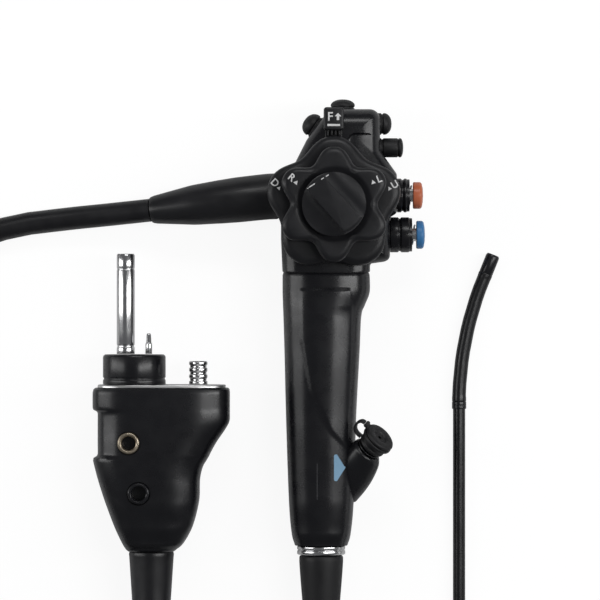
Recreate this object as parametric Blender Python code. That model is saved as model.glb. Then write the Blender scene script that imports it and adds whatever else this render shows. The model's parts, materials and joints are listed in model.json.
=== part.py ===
"""A slim flexible video endoscope, laid flat with its control knobs up.

Metres, +Z up, the floor at z = 0 and the knob axis through x = y = 0. The grip runs towards -Y,
the universal cord leaves the head towards -X, and the insertion tube comes back up on the right
side with its bending section and tip.
"""
import math

import bmesh
import bpy
from mathutils import Matrix, Vector

# Facets
CORNER_STEPS = 2             # flats round each corner of an outline
ROUND_SIDES = 16             # sides of a plain round piece or hole

# Clearances
FIT = 0.0003                 # between pieces that sit on, in or round each other
VALVE_TRAVEL = 0.0035        # how far a valve cap is pressed
SWITCH_TRAVEL = 0.0010       # how far a switch is pressed

# Control head
HEAD_DEPTH = 0.038           # back face to knob face
COVER_DEPTH = 0.008          # the part of that depth made by the back cover
HEAD_WALL = 0.0022
HEAD_EDGE = 0.0085           # rounding of the front edge
COVER_EDGE = 0.0035          # rounding of the back edge
HEAD_TOP = 0.0459
HEAD_LEFT = -0.0250
SEAM_Y = -0.0319             # joint between head and grip
GRIP_LEFT = -0.0243
GRIP_RIGHT = 0.0174
SWITCH_SIDE_X = 0.0222       # right wall beside the switches
VALVE_SIDE_X = 0.0302        # right wall at the suction valve
WATER_SIDE_X = 0.0269        # right wall at the air and water valve
HEAD_CORNERS = (             # x, y, corner radius, anticlockwise from the lower left
    (GRIP_LEFT, SEAM_Y, 0.0010),
    (GRIP_RIGHT, SEAM_Y, 0.0010),
    (GRIP_RIGHT, -0.0276, 0.0015),
    (WATER_SIDE_X, -0.0262, 0.0030),
    (WATER_SIDE_X, -0.0055, 0.0015),
    (VALVE_SIDE_X, -0.0035, 0.0015),
    (VALVE_SIDE_X, 0.0150, 0.0030),
    (SWITCH_SIDE_X, 0.0262, 0.0040),
    (SWITCH_SIDE_X, HEAD_TOP, 0.0050),
    (-0.0020, HEAD_TOP, 0.0045),
    (-0.0128, 0.0312, 0.0060),
    (-0.0188, 0.0193, 0.0050),
    (HEAD_LEFT, 0.0165, 0.0035),
    (HEAD_LEFT, -0.0160, 0.0100),
)

# Grip
BODY_AXIS_Z = 0.018          # height of the grip's and the tubes' centre line
GRIP_WALL = 0.0020
GRIP_POWER = 2.7             # squareness of the oval
GRIP_AXIS_X = -0.0058
GRIP_STATIONS = (            # distance below the seam, left side, right side, depth
    (0.0000, GRIP_LEFT, GRIP_RIGHT, 0.0360),
    (0.0090, GRIP_LEFT, GRIP_RIGHT, 0.0360),
    (0.0150, -0.0241, 0.0152, 0.0360),
    (0.0205, -0.0239, 0.0134, 0.0358),
    (0.0370, -0.0234, 0.0126, 0.0354),
    (0.0700, -0.0226, 0.0109, 0.0346),
    (0.1080, -0.0213, 0.0098, 0.0334),
    (0.1240, -0.0200, 0.0084, 0.0314),
    (0.1300, -0.0184, 0.0068, 0.0280),
)
END_RING_RADIUS = 0.0115
END_RING_LENGTH = 0.0045
BOOT_ROOT_RADIUS = 0.0105
BOOT_LENGTH = 0.0730
BOOT_TIP_WALL = 0.0013       # rubber round the tube at the boot's thin end

# Knob stack, from the frame plate up
PLATE_Z = 0.0090
PLATE_THICKNESS = 0.0020
PLATE_RIGHT_X = 0.0120
PLATE_TONGUE = 0.0300        # how far the plate reaches into the grip
TONGUE_WIDTH = 0.0240
TONGUE_GAP = 0.0010
FLANGE_RADIUS = 0.0070
FLANGE_THICKNESS = 0.0022
SPINDLE_RADIUS = 0.0022
SHAFT_WALL = 0.0015
DRUM_RADIUS = 0.0120
DRUM_THICKNESS = 0.0040
DRUM_GROOVE = 0.0010
LEVER_THICKNESS = 0.0020
LEVER_HUB_RADIUS = 0.0095
LEVER_ARM_WIDTH = 0.0080
LEVER_TAB_INNER = 0.0352
LEVER_TAB_OUTER = 0.0462
LEVER_TAB_WIDTH = 0.0095
LEVER_TAB_HEIGHT = 0.0085
UD_LOBES = 5
UD_RADIUS = 0.0324
UD_VALLEY = 0.0058
RL_LOBES = 6
RL_RADIUS = 0.0272
RL_VALLEY = 0.0066
KNOB_THICKNESS = 0.0100
KNOB_EDGE = 0.0022
LOCK_RADIUS = 0.0150
LOCK_THICKNESS = 0.0095
LOCK_RIDGE_WIDTH = 0.0093
LOCK_RIDGE_ANGLE = math.radians(-48)
LOCK_SCOOP_RADIUS = 0.0100
LOCK_BORE_DEPTH = 0.0035

# Switches: x and y where the axis meets the wall, outward direction, radius, height
SWITCH_Z = 0.0200
SWITCH_FLANGE = 0.0006
SWITCHES = (
    (-0.0082, 0.0374, 143.7, 0.0056, 0.0068),
    (0.0045, HEAD_TOP, 90.0, 0.0058, 0.0052),
    (SWITCH_SIDE_X, 0.0392, 0.0, 0.0052, 0.0058),
    (SWITCH_SIDE_X, 0.0278, 0.0, 0.0046, 0.0114),
)

# Valves
VALVE_Z = 0.0200
VALVE_INNER_X = 0.0145       # inner end of both barrels
VALVE_SHELF_X = 0.0290       # seat of both springs
BARREL_RADIUS = 0.0064
PISTON_RADIUS = 0.0031
PISTON_INNER_X = 0.0165
CAP_SKIN = 0.0012
SPRING_RADIUS = 0.0045
SPRING_WIRE = 0.0004
SPRING_TURNS = 4
SUCTION_Y = 0.0050
SUCTION_CAP_RADIUS = 0.0064
SUCTION_CAP_X = 0.0380       # underside of the cap
SUCTION_CAP_HEIGHT = 0.0049
SUCTION_RIM_X = 0.0364
WATER_Y = -0.0138
WATER_CAP_RADIUS = 0.0067
WATER_CAP_X = 0.0396
WATER_CAP_HEIGHT = 0.0042
WATER_RIM_X = 0.0376
COLLAR_WALL = 0.0014         # collar round a pressed cap

# Forceps port
PORT_CENTRE = Vector((0.0221, -0.1102, 0.0350))
PORT_AZIMUTH = math.radians(45)
PORT_RISE = math.radians(29)
PORT_INNER = 0.0300          # length from the cap's face back into the grip
PORT_RADIUS = 0.0062
PORT_NECK_RADIUS = 0.0048
PORT_BORE = 0.0016
PORT_CAP_RADIUS = 0.0080
PORT_CAP_HEIGHT = 0.0064
LID_THICKNESS = 0.0018
LID_HOLLOW_RADIUS = 0.0030
LID_SLIT_RADIUS = 0.0010
LID_HINGE_REACH = 0.0088     # from the port's axis to the lid's hinge
CHANNEL_RADIUS = 0.0020
CHANNEL_BORE = 0.0014
CHANNEL_START_Y = -0.0700

# Universal cord
CORD_RADIUS = 0.0055
CORD_BOOT_NECK = 0.0070
CORD_BOOT_NECK_DEPTH = 0.0030
CORD_BOOT_ROUTE = (
    (HEAD_LEFT - FIT, 0.0045, 0.0190),
    (-0.0310, 0.0045, 0.0190),
    (-0.0540, 0.0020, 0.0181),
    (-0.0874, -0.0019, 0.0130),
)
CORD_BOOT_RADII = (0.0110, 0.0108, 0.0096, 0.0064)
CORD_COIL_CENTRE = Vector((-0.1490, -0.2900, 0))
CORD_COIL_RADIUS = 0.0620
CORD_COIL_TURNS = 2.5
CORD_COIL_PITCH = 0.0113
CORD_NEAR_ROUTE = (
    (-0.0877, -0.0019, 0.0129),
    (-0.1100, -0.0042, 0.0090),
    (-0.1340, -0.0067, 0.0063),
    (-0.1587, -0.0108, 0.0057),
    (-0.1860, -0.0230, 0.0057),
    (-0.2050, -0.0480, 0.0057),
    (-0.2110, -0.0850, 0.0057),
    (-0.2110, -0.1700, 0.0057),
    (-0.2110, -0.2526, 0.0057),
)
CORD_FAR_ROUTE = (
    (-0.0870, -0.2529, 0.0300),
    (-0.0870, -0.2340, 0.0252),
    (-0.0870, -0.2155, 0.0224),
)

# Light-guide connector
CONNECTOR_X = -0.0870
CONNECTOR_FRONT_Y = -0.0870
CONNECTOR_Z = 0.0190
CONNECTOR_POWER = 3.6
CONNECTOR_STATIONS = (       # distance behind the front, left side, right side, depth
    (0.0000, -0.1138, -0.0503, 0.0364),
    (0.0020, -0.1150, -0.0495, 0.0380),
    (0.0095, -0.1150, -0.0495, 0.0380),
    (0.0115, -0.1127, -0.0495, 0.0380),
    (0.0160, -0.1126, -0.0497, 0.0380),
    (0.0260, -0.1126, -0.0559, 0.0380),
    (0.0320, -0.1126, -0.0592, 0.0380),
    (0.0338, -0.1148, -0.0602, 0.0380),
    (0.0380, -0.1140, -0.0625, 0.0380),
    (0.0440, -0.1124, -0.0638, 0.0378),
    (0.0540, -0.1092, -0.0642, 0.0372),
    (0.0660, -0.1047, -0.0672, 0.0350),
    (0.0740, -0.1010, -0.0715, 0.0310),
    (0.0780, -0.0985, -0.0755, 0.0250),
)
PLATE_METAL = 0.0012         # front plate thickness
PLATE_INSET = 0.0012         # front plate edge inside the housing's edge
BASE_X = -0.0952
BASE_RADIUS = 0.0150
BASE_LENGTH = 0.0142
ROD_X = -0.0993
ROD_RADIUS = 0.0043
ROD_LENGTH = 0.0478
ROD_BORE_DEPTH = 0.0060
LENS_RADIUS = 0.0034
LENS_THICKNESS = 0.0030
PIN_X = -0.0883
PIN_RADIUS = 0.0016
PIN_TIP_RADIUS = 0.0010
PIN_LENGTH = 0.0098
PIPE_X = -0.0646
PIPE_RADIUS = 0.0044
PIPE_LENGTH = 0.0110
PIPE_BORE = 0.0018
PIPE_RIBS = 3
PIPE_RIB_DEPTH = 0.0005
VENT_X = -0.0973
VENT_Y = -0.1130
SOCKET_X = -0.0926
SOCKET_Y = -0.1369
PORT_RING_RADIUS = 0.0053
PORT_RING_BORE = 0.0033
PORT_RING_DEPTH = 0.0070
PORT_RING_STAND = 0.0010
CONNECTOR_BOOT_ROUTE = (
    (-0.0870, -0.1653, 0.0190),
    (-0.0870, -0.1900, 0.0196),
    (-0.0870, -0.2150, 0.0223),
)
CONNECTOR_BOOT_RADII = (0.0108, 0.0092, 0.0064)

# Insertion tube
TUBE_RADIUS = 0.00295
TUBE_FLOOR_Z = 0.0030
TUBE_COIL_CENTRE = Vector((0.0274, -0.2900, 0))
TUBE_COIL_RADIUS = 0.0333
TUBE_COIL_TURNS = 3.5
TUBE_COIL_PITCH = 0.0060
TUBE_NEAR_ROUTE = (
    (-0.0058, -0.2405, 0.0180),
    (-0.0059, -0.2550, 0.0198),
    (-0.0059, -0.2692, 0.0228),
)
TUBE_FAR_ROUTE = (
    (0.0607, -0.2692, 0.0031),
    (0.0607, -0.2000, 0.0030),
    (0.0607, -0.1500, 0.0030),
    (0.0607, -0.0972, 0.00345),
)

# Bending section, in the frame of its first ring: z along the tube, x up, y to the right
JOINT_RING_RADIUS = 0.00345
JOINT_RING_LENGTH = 0.0030
JOINT_RING_EDGE = 0.0004
BEND_START = Vector((0.0607, -0.0969, 0.00345))
FIRST_HINGE = 0.0065         # from the joint ring's lower end
LINK_PITCH = 0.0052
LINK_PATTERN = ("ud", "ud", "rl") * 4
REST_BEND = math.radians(22)
LINK_RADIUS = 0.0027
LINK_WALL = 0.0005
LOBE_ANGLE = math.radians(22)
LOBE_DROP = 0.00075          # from the hinge down to the shoulder beside a lobe
WEDGE = math.radians(13)     # slope of each facing end, which sets the bending range
SHEATH_WALL = 0.0003
TIP_RADIUS = 0.0031
TIP_SHOULDER = 0.0028        # from the last hinge to the step that the sheath ends on
TIP_LENGTH = 0.0125
TIP_EDGE = 0.0005
TIP_CHANNEL_RADIUS = 0.0010
TIP_LENS_RADIUS = 0.0009
TIP_BORE_DEPTH = 0.0020


# Scene and materials

def clear_scene():
    for obj in list(bpy.data.objects):
        bpy.data.objects.remove(obj)


def material(name, colour, roughness, metallic=0.0):
    made = bpy.data.materials.new(name)
    made.use_nodes = True
    surface = made.node_tree.nodes["Principled BSDF"]
    surface.inputs["Base Color"].default_value = (*colour, 1)
    surface.inputs["Roughness"].default_value = roughness
    surface.inputs["Metallic"].default_value = metallic
    made.diffuse_color = (*colour, 1)
    return made


def group(name, location=(0, 0, 0)):
    empty = bpy.data.objects.new(name, None)
    empty.location = location
    bpy.context.scene.collection.objects.link(empty)
    return empty


def add(name, mesh, finish, parent=None, location=(0, 0, 0), axis=(0, 0, 1), turn=0.0):
    """Links the mesh as an object whose local Z runs along the axis."""
    obj = bpy.data.objects.new(name, mesh)
    if finish:
        mesh.materials.append(finish)
    bpy.context.scene.collection.objects.link(obj)
    obj.parent = parent
    facing = Vector((0, 0, 1)).rotation_difference(Vector(axis)).to_matrix().to_4x4()
    obj.matrix_local = Matrix.Translation(location) @ facing @ Matrix.Rotation(turn, 4, "Z")
    return obj


# Outlines

def circle(radius, height, sides):
    angles = [2 * math.pi * i / sides for i in range(sides)]
    return [Vector((radius * math.cos(a), radius * math.sin(a), height)) for a in angles]


def corner_normals(corners):
    """For each corner, the outward normals of the two edges that meet there."""
    points = [Vector(corner[:2]) for corner in corners]
    normals = []
    for i, point in enumerate(points):
        before = (point - points[i - 1]).normalized()
        after = (points[(i + 1) % len(points)] - point).normalized()
        normals.append((Vector((before.y, -before.x)), Vector((after.y, -after.x))))
    return points, normals


def rounded(corners, inset=0.0, steps=CORNER_STEPS):
    """The outline of an anticlockwise list of (x, y, radius), moved inwards, with its corners rounded."""
    points, normals = corner_normals(corners)
    outline = []
    for point, (n1, n2), (_, _, radius) in zip(points, normals, corners):
        middle = (n1 + n2).normalized()
        moved = point - middle * inset / middle.dot(n1)
        turn = math.atan2(n1.cross(n2), n1.dot(n2))
        radius = max(radius - inset, 0.0002) if turn > 0 else radius
        centre = moved - middle * radius / middle.dot(n1) * (1 if turn > 0 else -1)
        start = math.atan2(n1.y, n1.x)
        for i in range(steps + 1):
            angle = start + turn * i / steps
            reach = radius if turn > 0 else -radius
            outline.append(centre + Vector((math.cos(angle), math.sin(angle))) * reach)
    return outline


def oval(centre_x, centre_z, half_width, half_depth, power, y, sides=20):
    """A squared ellipse across the Y axis."""
    outline = []
    for i in range(sides):
        angle = 2 * math.pi * (i + 0.5) / sides
        c = math.cos(angle)
        s = math.sin(angle)
        x = math.copysign(abs(c) ** (2 / power), c) * half_width
        z = math.copysign(abs(s) ** (2 / power), s) * half_depth
        outline.append(Vector((centre_x + x, y, centre_z + z)))
    return outline


def star(lobes, radius, valley, height, inset, sides):
    """A knob outline with round lobes and hollow valleys, its first lobe on +Y."""
    outline = []
    for i in range(sides):
        angle = 2 * math.pi * i / sides
        reach = radius - inset - valley * (0.5 - 0.5 * math.cos(lobes * angle)) ** 1.25
        outline.append(Vector((-reach * math.sin(angle), reach * math.cos(angle), height)))
    return outline


def smooth(points, step):
    """Points along a smooth curve through the given ones, about one step apart."""
    points = [Vector(p) for p in points]
    ends = [2 * points[0] - points[1], *points, 2 * points[-1] - points[-2]]
    curve = []
    for before, start, end, after in zip(ends, ends[1:], ends[2:], ends[3:]):
        count = max(1, round((end - start).length / step))
        for i in range(count):
            t = i / count
            pull = (end - before) * 0.5
            push = (after - start) * 0.5
            a = 2 * start - 2 * end + pull + push
            b = -3 * start + 3 * end - 2 * pull - push
            curve.append(a * t ** 3 + b * t ** 2 + pull * t + start)
    return [*curve, points[-1]]


# Solids

def loft(name, loops, closed=False):
    """Joins loops of equal length in order, and closes the ends with faces or to each other."""
    bm = bmesh.new()
    rows = [[bm.verts.new(p) for p in loop] for loop in loops]
    pairs = list(zip(rows, rows[1:]))
    if closed:
        pairs.append((rows[-1], rows[0]))
    else:
        bm.faces.new(rows[0])
        bm.faces.new(rows[-1])
    for low, high in pairs:
        count = len(low)
        for i in range(count):
            bm.faces.new((low[i], low[(i + 1) % count], high[(i + 1) % count], high[i]))
    bmesh.ops.recalc_face_normals(bm, faces=bm.faces)
    mesh = bpy.data.meshes.new(name)
    bm.to_mesh(mesh)
    bm.free()
    return mesh


def turned(name, profile, closed=False, sides=ROUND_SIDES):
    """A solid of revolution about Z from (radius, height) points; closed profiles make rings."""
    return loft(name, [circle(r, h, sides) for r, h in profile], closed)


def box_corners(left, front, right, back, radius):
    """Four corners of a rectangle, anticlockwise, as rounded takes them."""
    return [(left, front, radius), (right, front, radius), (right, back, radius), (left, back, radius)]


def layered(name, corners, layers):
    """A solid through the outline at each (height, inset) in turn."""
    loops = []
    for z, inset in layers:
        loops.append([Vector((p.x, p.y, z)) for p in rounded(corners, inset)])
    return loft(name, loops)


def edge_layers(low, high, bottom_edge=0.0, top_edge=0.0):
    """Heights and insets of a plate whose lower and upper edges are rounded."""
    layers = [(low, bottom_edge)]
    if bottom_edge:
        layers += [(low + bottom_edge * (1 - math.cos(a)), bottom_edge * (1 - math.sin(a)))
                   for a in (math.pi / 6, math.pi / 3, math.pi / 2)]
    if top_edge:
        layers += [(high - top_edge * (1 - math.cos(a)), top_edge * (1 - math.sin(a)))
                   for a in (math.pi / 2, math.pi / 3, math.pi / 6)]
        layers.append((high, top_edge))
    else:
        layers.append((high, 0.0))
    return layers


def prism(name, corners, low, high, bottom_edge=0.0, top_edge=0.0):
    """A plate of the given outline, with its lower and upper edges rounded."""
    return layered(name, corners, edge_layers(low, high, bottom_edge, top_edge))


def swept(name, points, radii, neck_radius=0.0, neck_depth=0.0, sides=ROUND_SIDES):
    """A round solid along a route, its radius eased between the given ones, after a straight neck."""
    centres = smooth(points, 0.011)
    count = len(centres) - 1
    loops = []
    for i, centre in enumerate(centres):
        along = (centres[min(i + 1, count)] - centres[max(i - 1, 0)]).normalized()
        facing = along.to_track_quat("Z", "Y")
        place = i / count * (len(radii) - 1)
        low = min(int(place), len(radii) - 2)
        radius = radii[low] + (radii[low + 1] - radii[low]) * (place - low)
        if neck_depth and not loops:
            for z in (-neck_depth, 0):
                loops.append([centre + facing @ p for p in circle(neck_radius, z, sides)])
        loops.append([centre + facing @ p for p in circle(radius, 0, sides)])
    return loft(name, loops)


def cord_curve(name, points, radius, finish, sides_resolution=2):
    """A round cord as a bevelled curve with filled ends."""
    data = bpy.data.curves.new(name, "CURVE")
    data.dimensions = "3D"
    data.bevel_depth = radius
    data.bevel_resolution = sides_resolution
    data.use_fill_caps = True
    spline = data.splines.new("POLY")
    spline.points.add(len(points) - 1)
    for place, point in zip(spline.points, points):
        place.co = (*point, 1)
    obj = bpy.data.objects.new(name, data)
    data.materials.append(finish)
    bpy.context.scene.collection.objects.link(obj)
    return obj


def boolean(obj, tool, operation):
    """Applies one Boolean of a helper object and hides the helper."""
    tool.hide_render = True
    tool.display_type = "WIRE"
    step = obj.modifiers.new(tool.name, "BOOLEAN")
    step.operation = operation
    step.solver = "EXACT"
    step.object = tool


def drill(obj, name, radius, start, end, sides=ROUND_SIDES):
    """Cuts a round hole between two points, given in the frame of the object's parent."""
    start = Vector(start)
    end = Vector(end)
    bar = turned(name, [(radius, 0), (radius, (end - start).length)], sides=sides)
    tool = add(name, bar, None, obj.parent, start, end - start)
    boolean(obj, tool, "DIFFERENCE")


# Control head

def head_ceiling():
    return HEAD_DEPTH - HEAD_WALL


def head_loops(layers, seam_inset):
    """Loops round the head at each (height, inset); no edge is rounded at the seam, where the grip goes on."""
    on_seam = 2 * (CORNER_STEPS + 1)
    seam = [p.y for p in rounded(HEAD_CORNERS, seam_inset)[:on_seam]]
    loops = []
    for z, inset in layers:
        loop = [Vector((p.x, p.y, z)) for p in rounded(HEAD_CORNERS, inset)]
        for p, y in zip(loop, seam):
            p.y = y
        loops.append(loop)
    return loops


def head_housing(parent, black):
    """The open shell over the back cover, from the inside of its face round its rim to the outside."""
    rim = COVER_DEPTH + FIT
    ceiling = head_ceiling()
    lining = [(ceiling, HEAD_WALL + HEAD_EDGE / 2), (ceiling - HEAD_EDGE / 2, HEAD_WALL), (rim, HEAD_WALL)]
    shell = head_loops(lining, HEAD_WALL) + head_loops(edge_layers(rim, HEAD_DEPTH, 0.0, HEAD_EDGE), 0.0)
    housing = add("head_housing", loft("head_housing", shell), black, parent)
    cut_controls(housing)
    start, end = (Vector(p) for p in CORD_BOOT_ROUTE[:2])
    along = (end - start).normalized()
    drill(housing, "cut_cord", CORD_BOOT_NECK + FIT, start - along * 0.006, start + along * 0.006)
    left = GRIP_AXIS_X - TONGUE_WIDTH / 2 - TONGUE_GAP
    right = GRIP_AXIS_X + TONGUE_WIDTH / 2 + TONGUE_GAP
    mouth = box_corners(left, SEAM_Y - 0.003, right, SEAM_Y + HEAD_WALL + 0.003, 0.001)
    slot = prism("cut_tongue", mouth, PLATE_Z - TONGUE_GAP, BODY_AXIS_Z + 0.009)
    tool = add("cut_tongue", slot, None, parent)
    boolean(housing, tool, "DIFFERENCE")


def cut_controls(housing):
    """The openings for the knob shaft, the switches and the valve barrels."""
    below = (0, 0, head_ceiling() - 0.004)
    drill(housing, "cut_shaft", ud_shaft_radius() + FIT, below, (0, 0, HEAD_DEPTH + 0.002))
    for i, (x, y, heading, radius, height) in enumerate(SWITCHES):
        out = Vector((math.cos(math.radians(heading)), math.sin(math.radians(heading)), 0))
        place = Vector((x, y, SWITCH_Z))
        drill(housing, f"cut_switch_{i + 1}", radius + FIT, place - out * 0.004, place + out * 0.004)
        wide = radius + SWITCH_FLANGE + FIT
        drill(housing, f"cut_flange_{i + 1}", wide, place - out * 0.006, place - out * HEAD_WALL)
    for y in (SUCTION_Y, WATER_Y):
        inner = (VALVE_INNER_X, y, VALVE_Z)
        drill(housing, "cut_barrel", BARREL_RADIUS + FIT, inner, (VALVE_SIDE_X + 0.004, y, VALVE_Z))


def frame_plate(parent, metal):
    """The steel plate that carries the knob shafts, with a tongue that reaches into the grip."""
    outline = []
    for x, y, radius in HEAD_CORNERS:
        beside_valves = x > PLATE_RIGHT_X and SEAM_Y < y < SWITCHES[-1][1]
        if not beside_valves:
            outline.append((min(x, PLATE_RIGHT_X + HEAD_WALL), y, radius))
    inset = HEAD_WALL + FIT
    top = PLATE_Z + PLATE_THICKNESS
    plate = layered("frame_plate", outline, [(PLATE_Z, inset), (top, inset)])
    frame = add("frame_plate", plate, metal, parent)
    half = TONGUE_WIDTH / 2
    low = SEAM_Y - PLATE_TONGUE
    tongue = box_corners(GRIP_AXIS_X - half, low, GRIP_AXIS_X + half, SEAM_Y + 0.012, 0.001)
    tool = add("join_tongue", prism("join_tongue", tongue, PLATE_Z, top), None, parent)
    boolean(frame, tool, "UNION")


def head_pieces(parent, black, metal):
    head_housing(parent, black)
    cover = head_loops(edge_layers(0, COVER_DEPTH, COVER_EDGE), 0.0)
    add("head_back_cover", loft("head_back_cover", cover), black, parent)
    frame_plate(parent, metal)


# Knob stack

def spindle_base():
    return PLATE_Z + PLATE_THICKNESS + FIT


def rl_shaft_bore():
    return SPINDLE_RADIUS + FIT


def rl_shaft_radius():
    return rl_shaft_bore() + SHAFT_WALL


def ud_shaft_bore():
    return rl_shaft_radius() + FIT


def ud_shaft_radius():
    return ud_shaft_bore() + SHAFT_WALL


def rl_drum_z():
    return spindle_base() + FLANGE_THICKNESS + FIT


def ud_drum_z():
    return rl_drum_z() + DRUM_THICKNESS + FIT


def ud_knob_z():
    return HEAD_DEPTH + FIT + LEVER_THICKNESS + FIT


def rl_knob_z():
    return ud_knob_z() + KNOB_THICKNESS + FIT


def lock_z():
    return rl_knob_z() + KNOB_THICKNESS + FIT


def drum_shaft(name, bore, radius, low, high, finish, parent):
    """A tubular shaft with a grooved wire drum at its lower end."""
    half = DRUM_THICKNESS / 2
    profile = [(bore, low), (DRUM_RADIUS, low), (DRUM_RADIUS - DRUM_GROOVE, low + half),
               (DRUM_RADIUS, low + DRUM_THICKNESS), (radius, low + DRUM_THICKNESS), (radius, high), (bore, high)]
    add(name, turned(name, profile, closed=True, sides=12), finish, parent)


def star_knob(name, lobes, radius, valley, low, bore, finish, parent):
    """A star-shaped angulation knob with a bore for its shaft."""
    sides = 8 * lobes
    high = low + KNOB_THICKNESS
    layers = [(low, KNOB_EDGE / 2), (low + KNOB_EDGE / 2, 0.0), (high - KNOB_EDGE, 0.0),
              (high - KNOB_EDGE * 0.3, KNOB_EDGE * 0.3), (high, KNOB_EDGE)]
    loops = [circle(bore, low, sides)]
    loops = [[Vector((-p.y, p.x, p.z)) for p in loops[0]]]
    loops += [star(lobes, radius, valley, z, inset, sides) for z, inset in layers]
    loops.append([Vector((p.x, p.y, high)) for p in loops[0]])
    add(name, loft(name, loops, closed=True), finish, parent)


def lock_lever(parent, finish):
    low = HEAD_DEPTH + FIT
    half = LEVER_ARM_WIDTH / 2
    arm = box_corners(-half, 0, half, LEVER_TAB_OUTER, 0.001)
    hub = [(LEVER_HUB_RADIUS, 0), (LEVER_HUB_RADIUS, LEVER_THICKNESS)]
    lever = add("ud_lock_lever", turned("ud_lock_lever", hub, sides=24), finish, parent, (0, 0, low))
    tool = add("join_arm", prism("join_arm", arm, low, low + LEVER_THICKNESS), None, parent)
    boolean(lever, tool, "UNION")
    wide = LEVER_TAB_WIDTH / 2
    tab = box_corners(-wide, LEVER_TAB_INNER, wide, LEVER_TAB_OUTER, 0.0015)
    tool = add("join_tab", prism("join_tab", tab, low, low + LEVER_TAB_HEIGHT, 0.0, 0.001), None, parent)
    boolean(lever, tool, "UNION")
    drill(lever, "cut_lever", ud_shaft_radius() + FIT, (0, 0, low - 0.002), (0, 0, low + 0.006), sides=24)


def lock_knob(parent, finish):
    """A flat cap with a raised finger ridge left between two scoops."""
    low = lock_z()
    high = low + LOCK_THICKNESS
    edge = KNOB_EDGE / 2
    profile = [(LOCK_RADIUS - edge, low), (LOCK_RADIUS, low + edge), (LOCK_RADIUS, high - 2 * edge),
               (LOCK_RADIUS - 2 * edge, high)]
    knob = add("rl_lock_knob", turned("rl_lock_knob", profile, sides=24), finish, parent)
    along = Vector((math.cos(LOCK_RIDGE_ANGLE), math.sin(LOCK_RIDGE_ANGLE), 0))
    across = Vector((-along.y, along.x, 0))
    for side in (-1, 1):
        aside = across * side * (LOCK_RIDGE_WIDTH / 2 + LOCK_SCOOP_RADIUS * 0.95)
        centre = aside + Vector((0, 0, high + 0.004))
        drill(knob, "cut_scoop", LOCK_SCOOP_RADIUS, centre - along * 0.03, centre + along * 0.03, sides=24)
    drill(knob, "cut_spindle", rl_shaft_bore(), (0, 0, low - 0.002), (0, 0, low + LOCK_BORE_DEPTH))


def knob_stack(parent, black, metal):
    base = spindle_base()
    top = lock_z() + LOCK_BORE_DEPTH - FIT
    profile = [(FLANGE_RADIUS, base), (FLANGE_RADIUS, base + FLANGE_THICKNESS),
               (SPINDLE_RADIUS, base + FLANGE_THICKNESS), (SPINDLE_RADIUS, top)]
    add("central_spindle", turned("central_spindle", profile), metal, parent)
    high = rl_knob_z() + KNOB_THICKNESS
    drum_shaft("rl_shaft", rl_shaft_bore(), rl_shaft_radius(), rl_drum_z(), high, metal, parent)
    high = ud_knob_z() + KNOB_THICKNESS
    drum_shaft("ud_shaft", ud_shaft_bore(), ud_shaft_radius(), ud_drum_z(), high, metal, parent)
    lock_lever(parent, black)
    bore = ud_shaft_radius() + FIT
    star_knob("ud_knob", UD_LOBES, UD_RADIUS, UD_VALLEY, ud_knob_z(), bore, black, parent)
    bore = rl_shaft_radius() + FIT
    star_knob("rl_knob", RL_LOBES, RL_RADIUS, RL_VALLEY, rl_knob_z(), bore, black, parent)
    lock_knob(parent, black)


# Switches and valves

def switch_caps(parent, finish):
    for i, (x, y, heading, radius, height) in enumerate(SWITCHES):
        name = f"switch_{i + 1}"
        inside = -HEAD_WALL - FIT - SWITCH_TRAVEL * 0.3
        edge = radius * 0.3
        wide = radius + SWITCH_FLANGE
        profile = [(wide, inside - 0.0010), (wide, inside), (radius, inside), (radius, height - edge),
                   (radius - edge * 0.3, height - edge * 0.3), (radius - edge, height)]
        out = (math.cos(math.radians(heading)), math.sin(math.radians(heading)), 0)
        add(name, turned(name, profile, sides=14), finish, parent, (x, y, SWITCH_Z), out)


def valve(sizes, cap_finish, black, metal, parent):
    """A cylinder through the head's wall, its sprung piston and the coloured cap on it."""
    prefix, y, wall_x, rim_x, cap_x, cap_radius, cap_height = sizes
    mouth = cap_radius + FIT
    collar = mouth + COLLAR_WALL
    bore = PISTON_RADIUS + FIT
    face = wall_x + FIT
    profile = [(bore, VALVE_INNER_X), (BARREL_RADIUS, VALVE_INNER_X), (BARREL_RADIUS, face), (collar, face),
               (collar, rim_x), (mouth, rim_x), (mouth, VALVE_SHELF_X + VALVE_TRAVEL),
               (SPRING_RADIUS * 1.25, VALVE_SHELF_X), (bore, VALVE_SHELF_X)]
    name = f"{prefix}_cylinder"
    add(name, turned(name, profile, closed=True, sides=20), black, parent, (0, y, VALVE_Z), (1, 0, 0))
    name = f"{prefix}_piston"
    profile = [(PISTON_RADIUS - 0.0004, PISTON_INNER_X), (PISTON_RADIUS, PISTON_INNER_X + 0.0004),
               (PISTON_RADIUS, cap_x + cap_height - CAP_SKIN - FIT)]
    add(name, turned(name, profile), metal, parent, (0, y, VALVE_Z), (1, 0, 0))
    name = f"{prefix}_cap"
    top = cap_x + cap_height
    profile = [(cap_radius, cap_x), (cap_radius, top - 0.0012), (cap_radius - 0.0012, top)]
    cap = add(name, turned(name, profile, sides=20), cap_finish, parent, (0, y, VALVE_Z), (1, 0, 0))
    drill(cap, f"cut_{name}", bore, (cap_x - 0.002, y, VALVE_Z), (top - CAP_SKIN, y, VALVE_Z))
    low = VALVE_SHELF_X + SPRING_WIRE + FIT
    spring(f"{prefix}_spring", y, low, cap_x - SPRING_WIRE - FIT, metal, parent)


def spring(name, y, low, high, finish, parent):
    count = SPRING_TURNS * 8
    points = []
    for i in range(count + 1):
        angle = 2 * math.pi * SPRING_TURNS * i / count
        points.append((low + (high - low) * i / count, y + SPRING_RADIUS * math.cos(angle),
                       VALVE_Z + SPRING_RADIUS * math.sin(angle)))
    wire = cord_curve(name, points, SPRING_WIRE, finish, 0)
    wire.parent = parent


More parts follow.
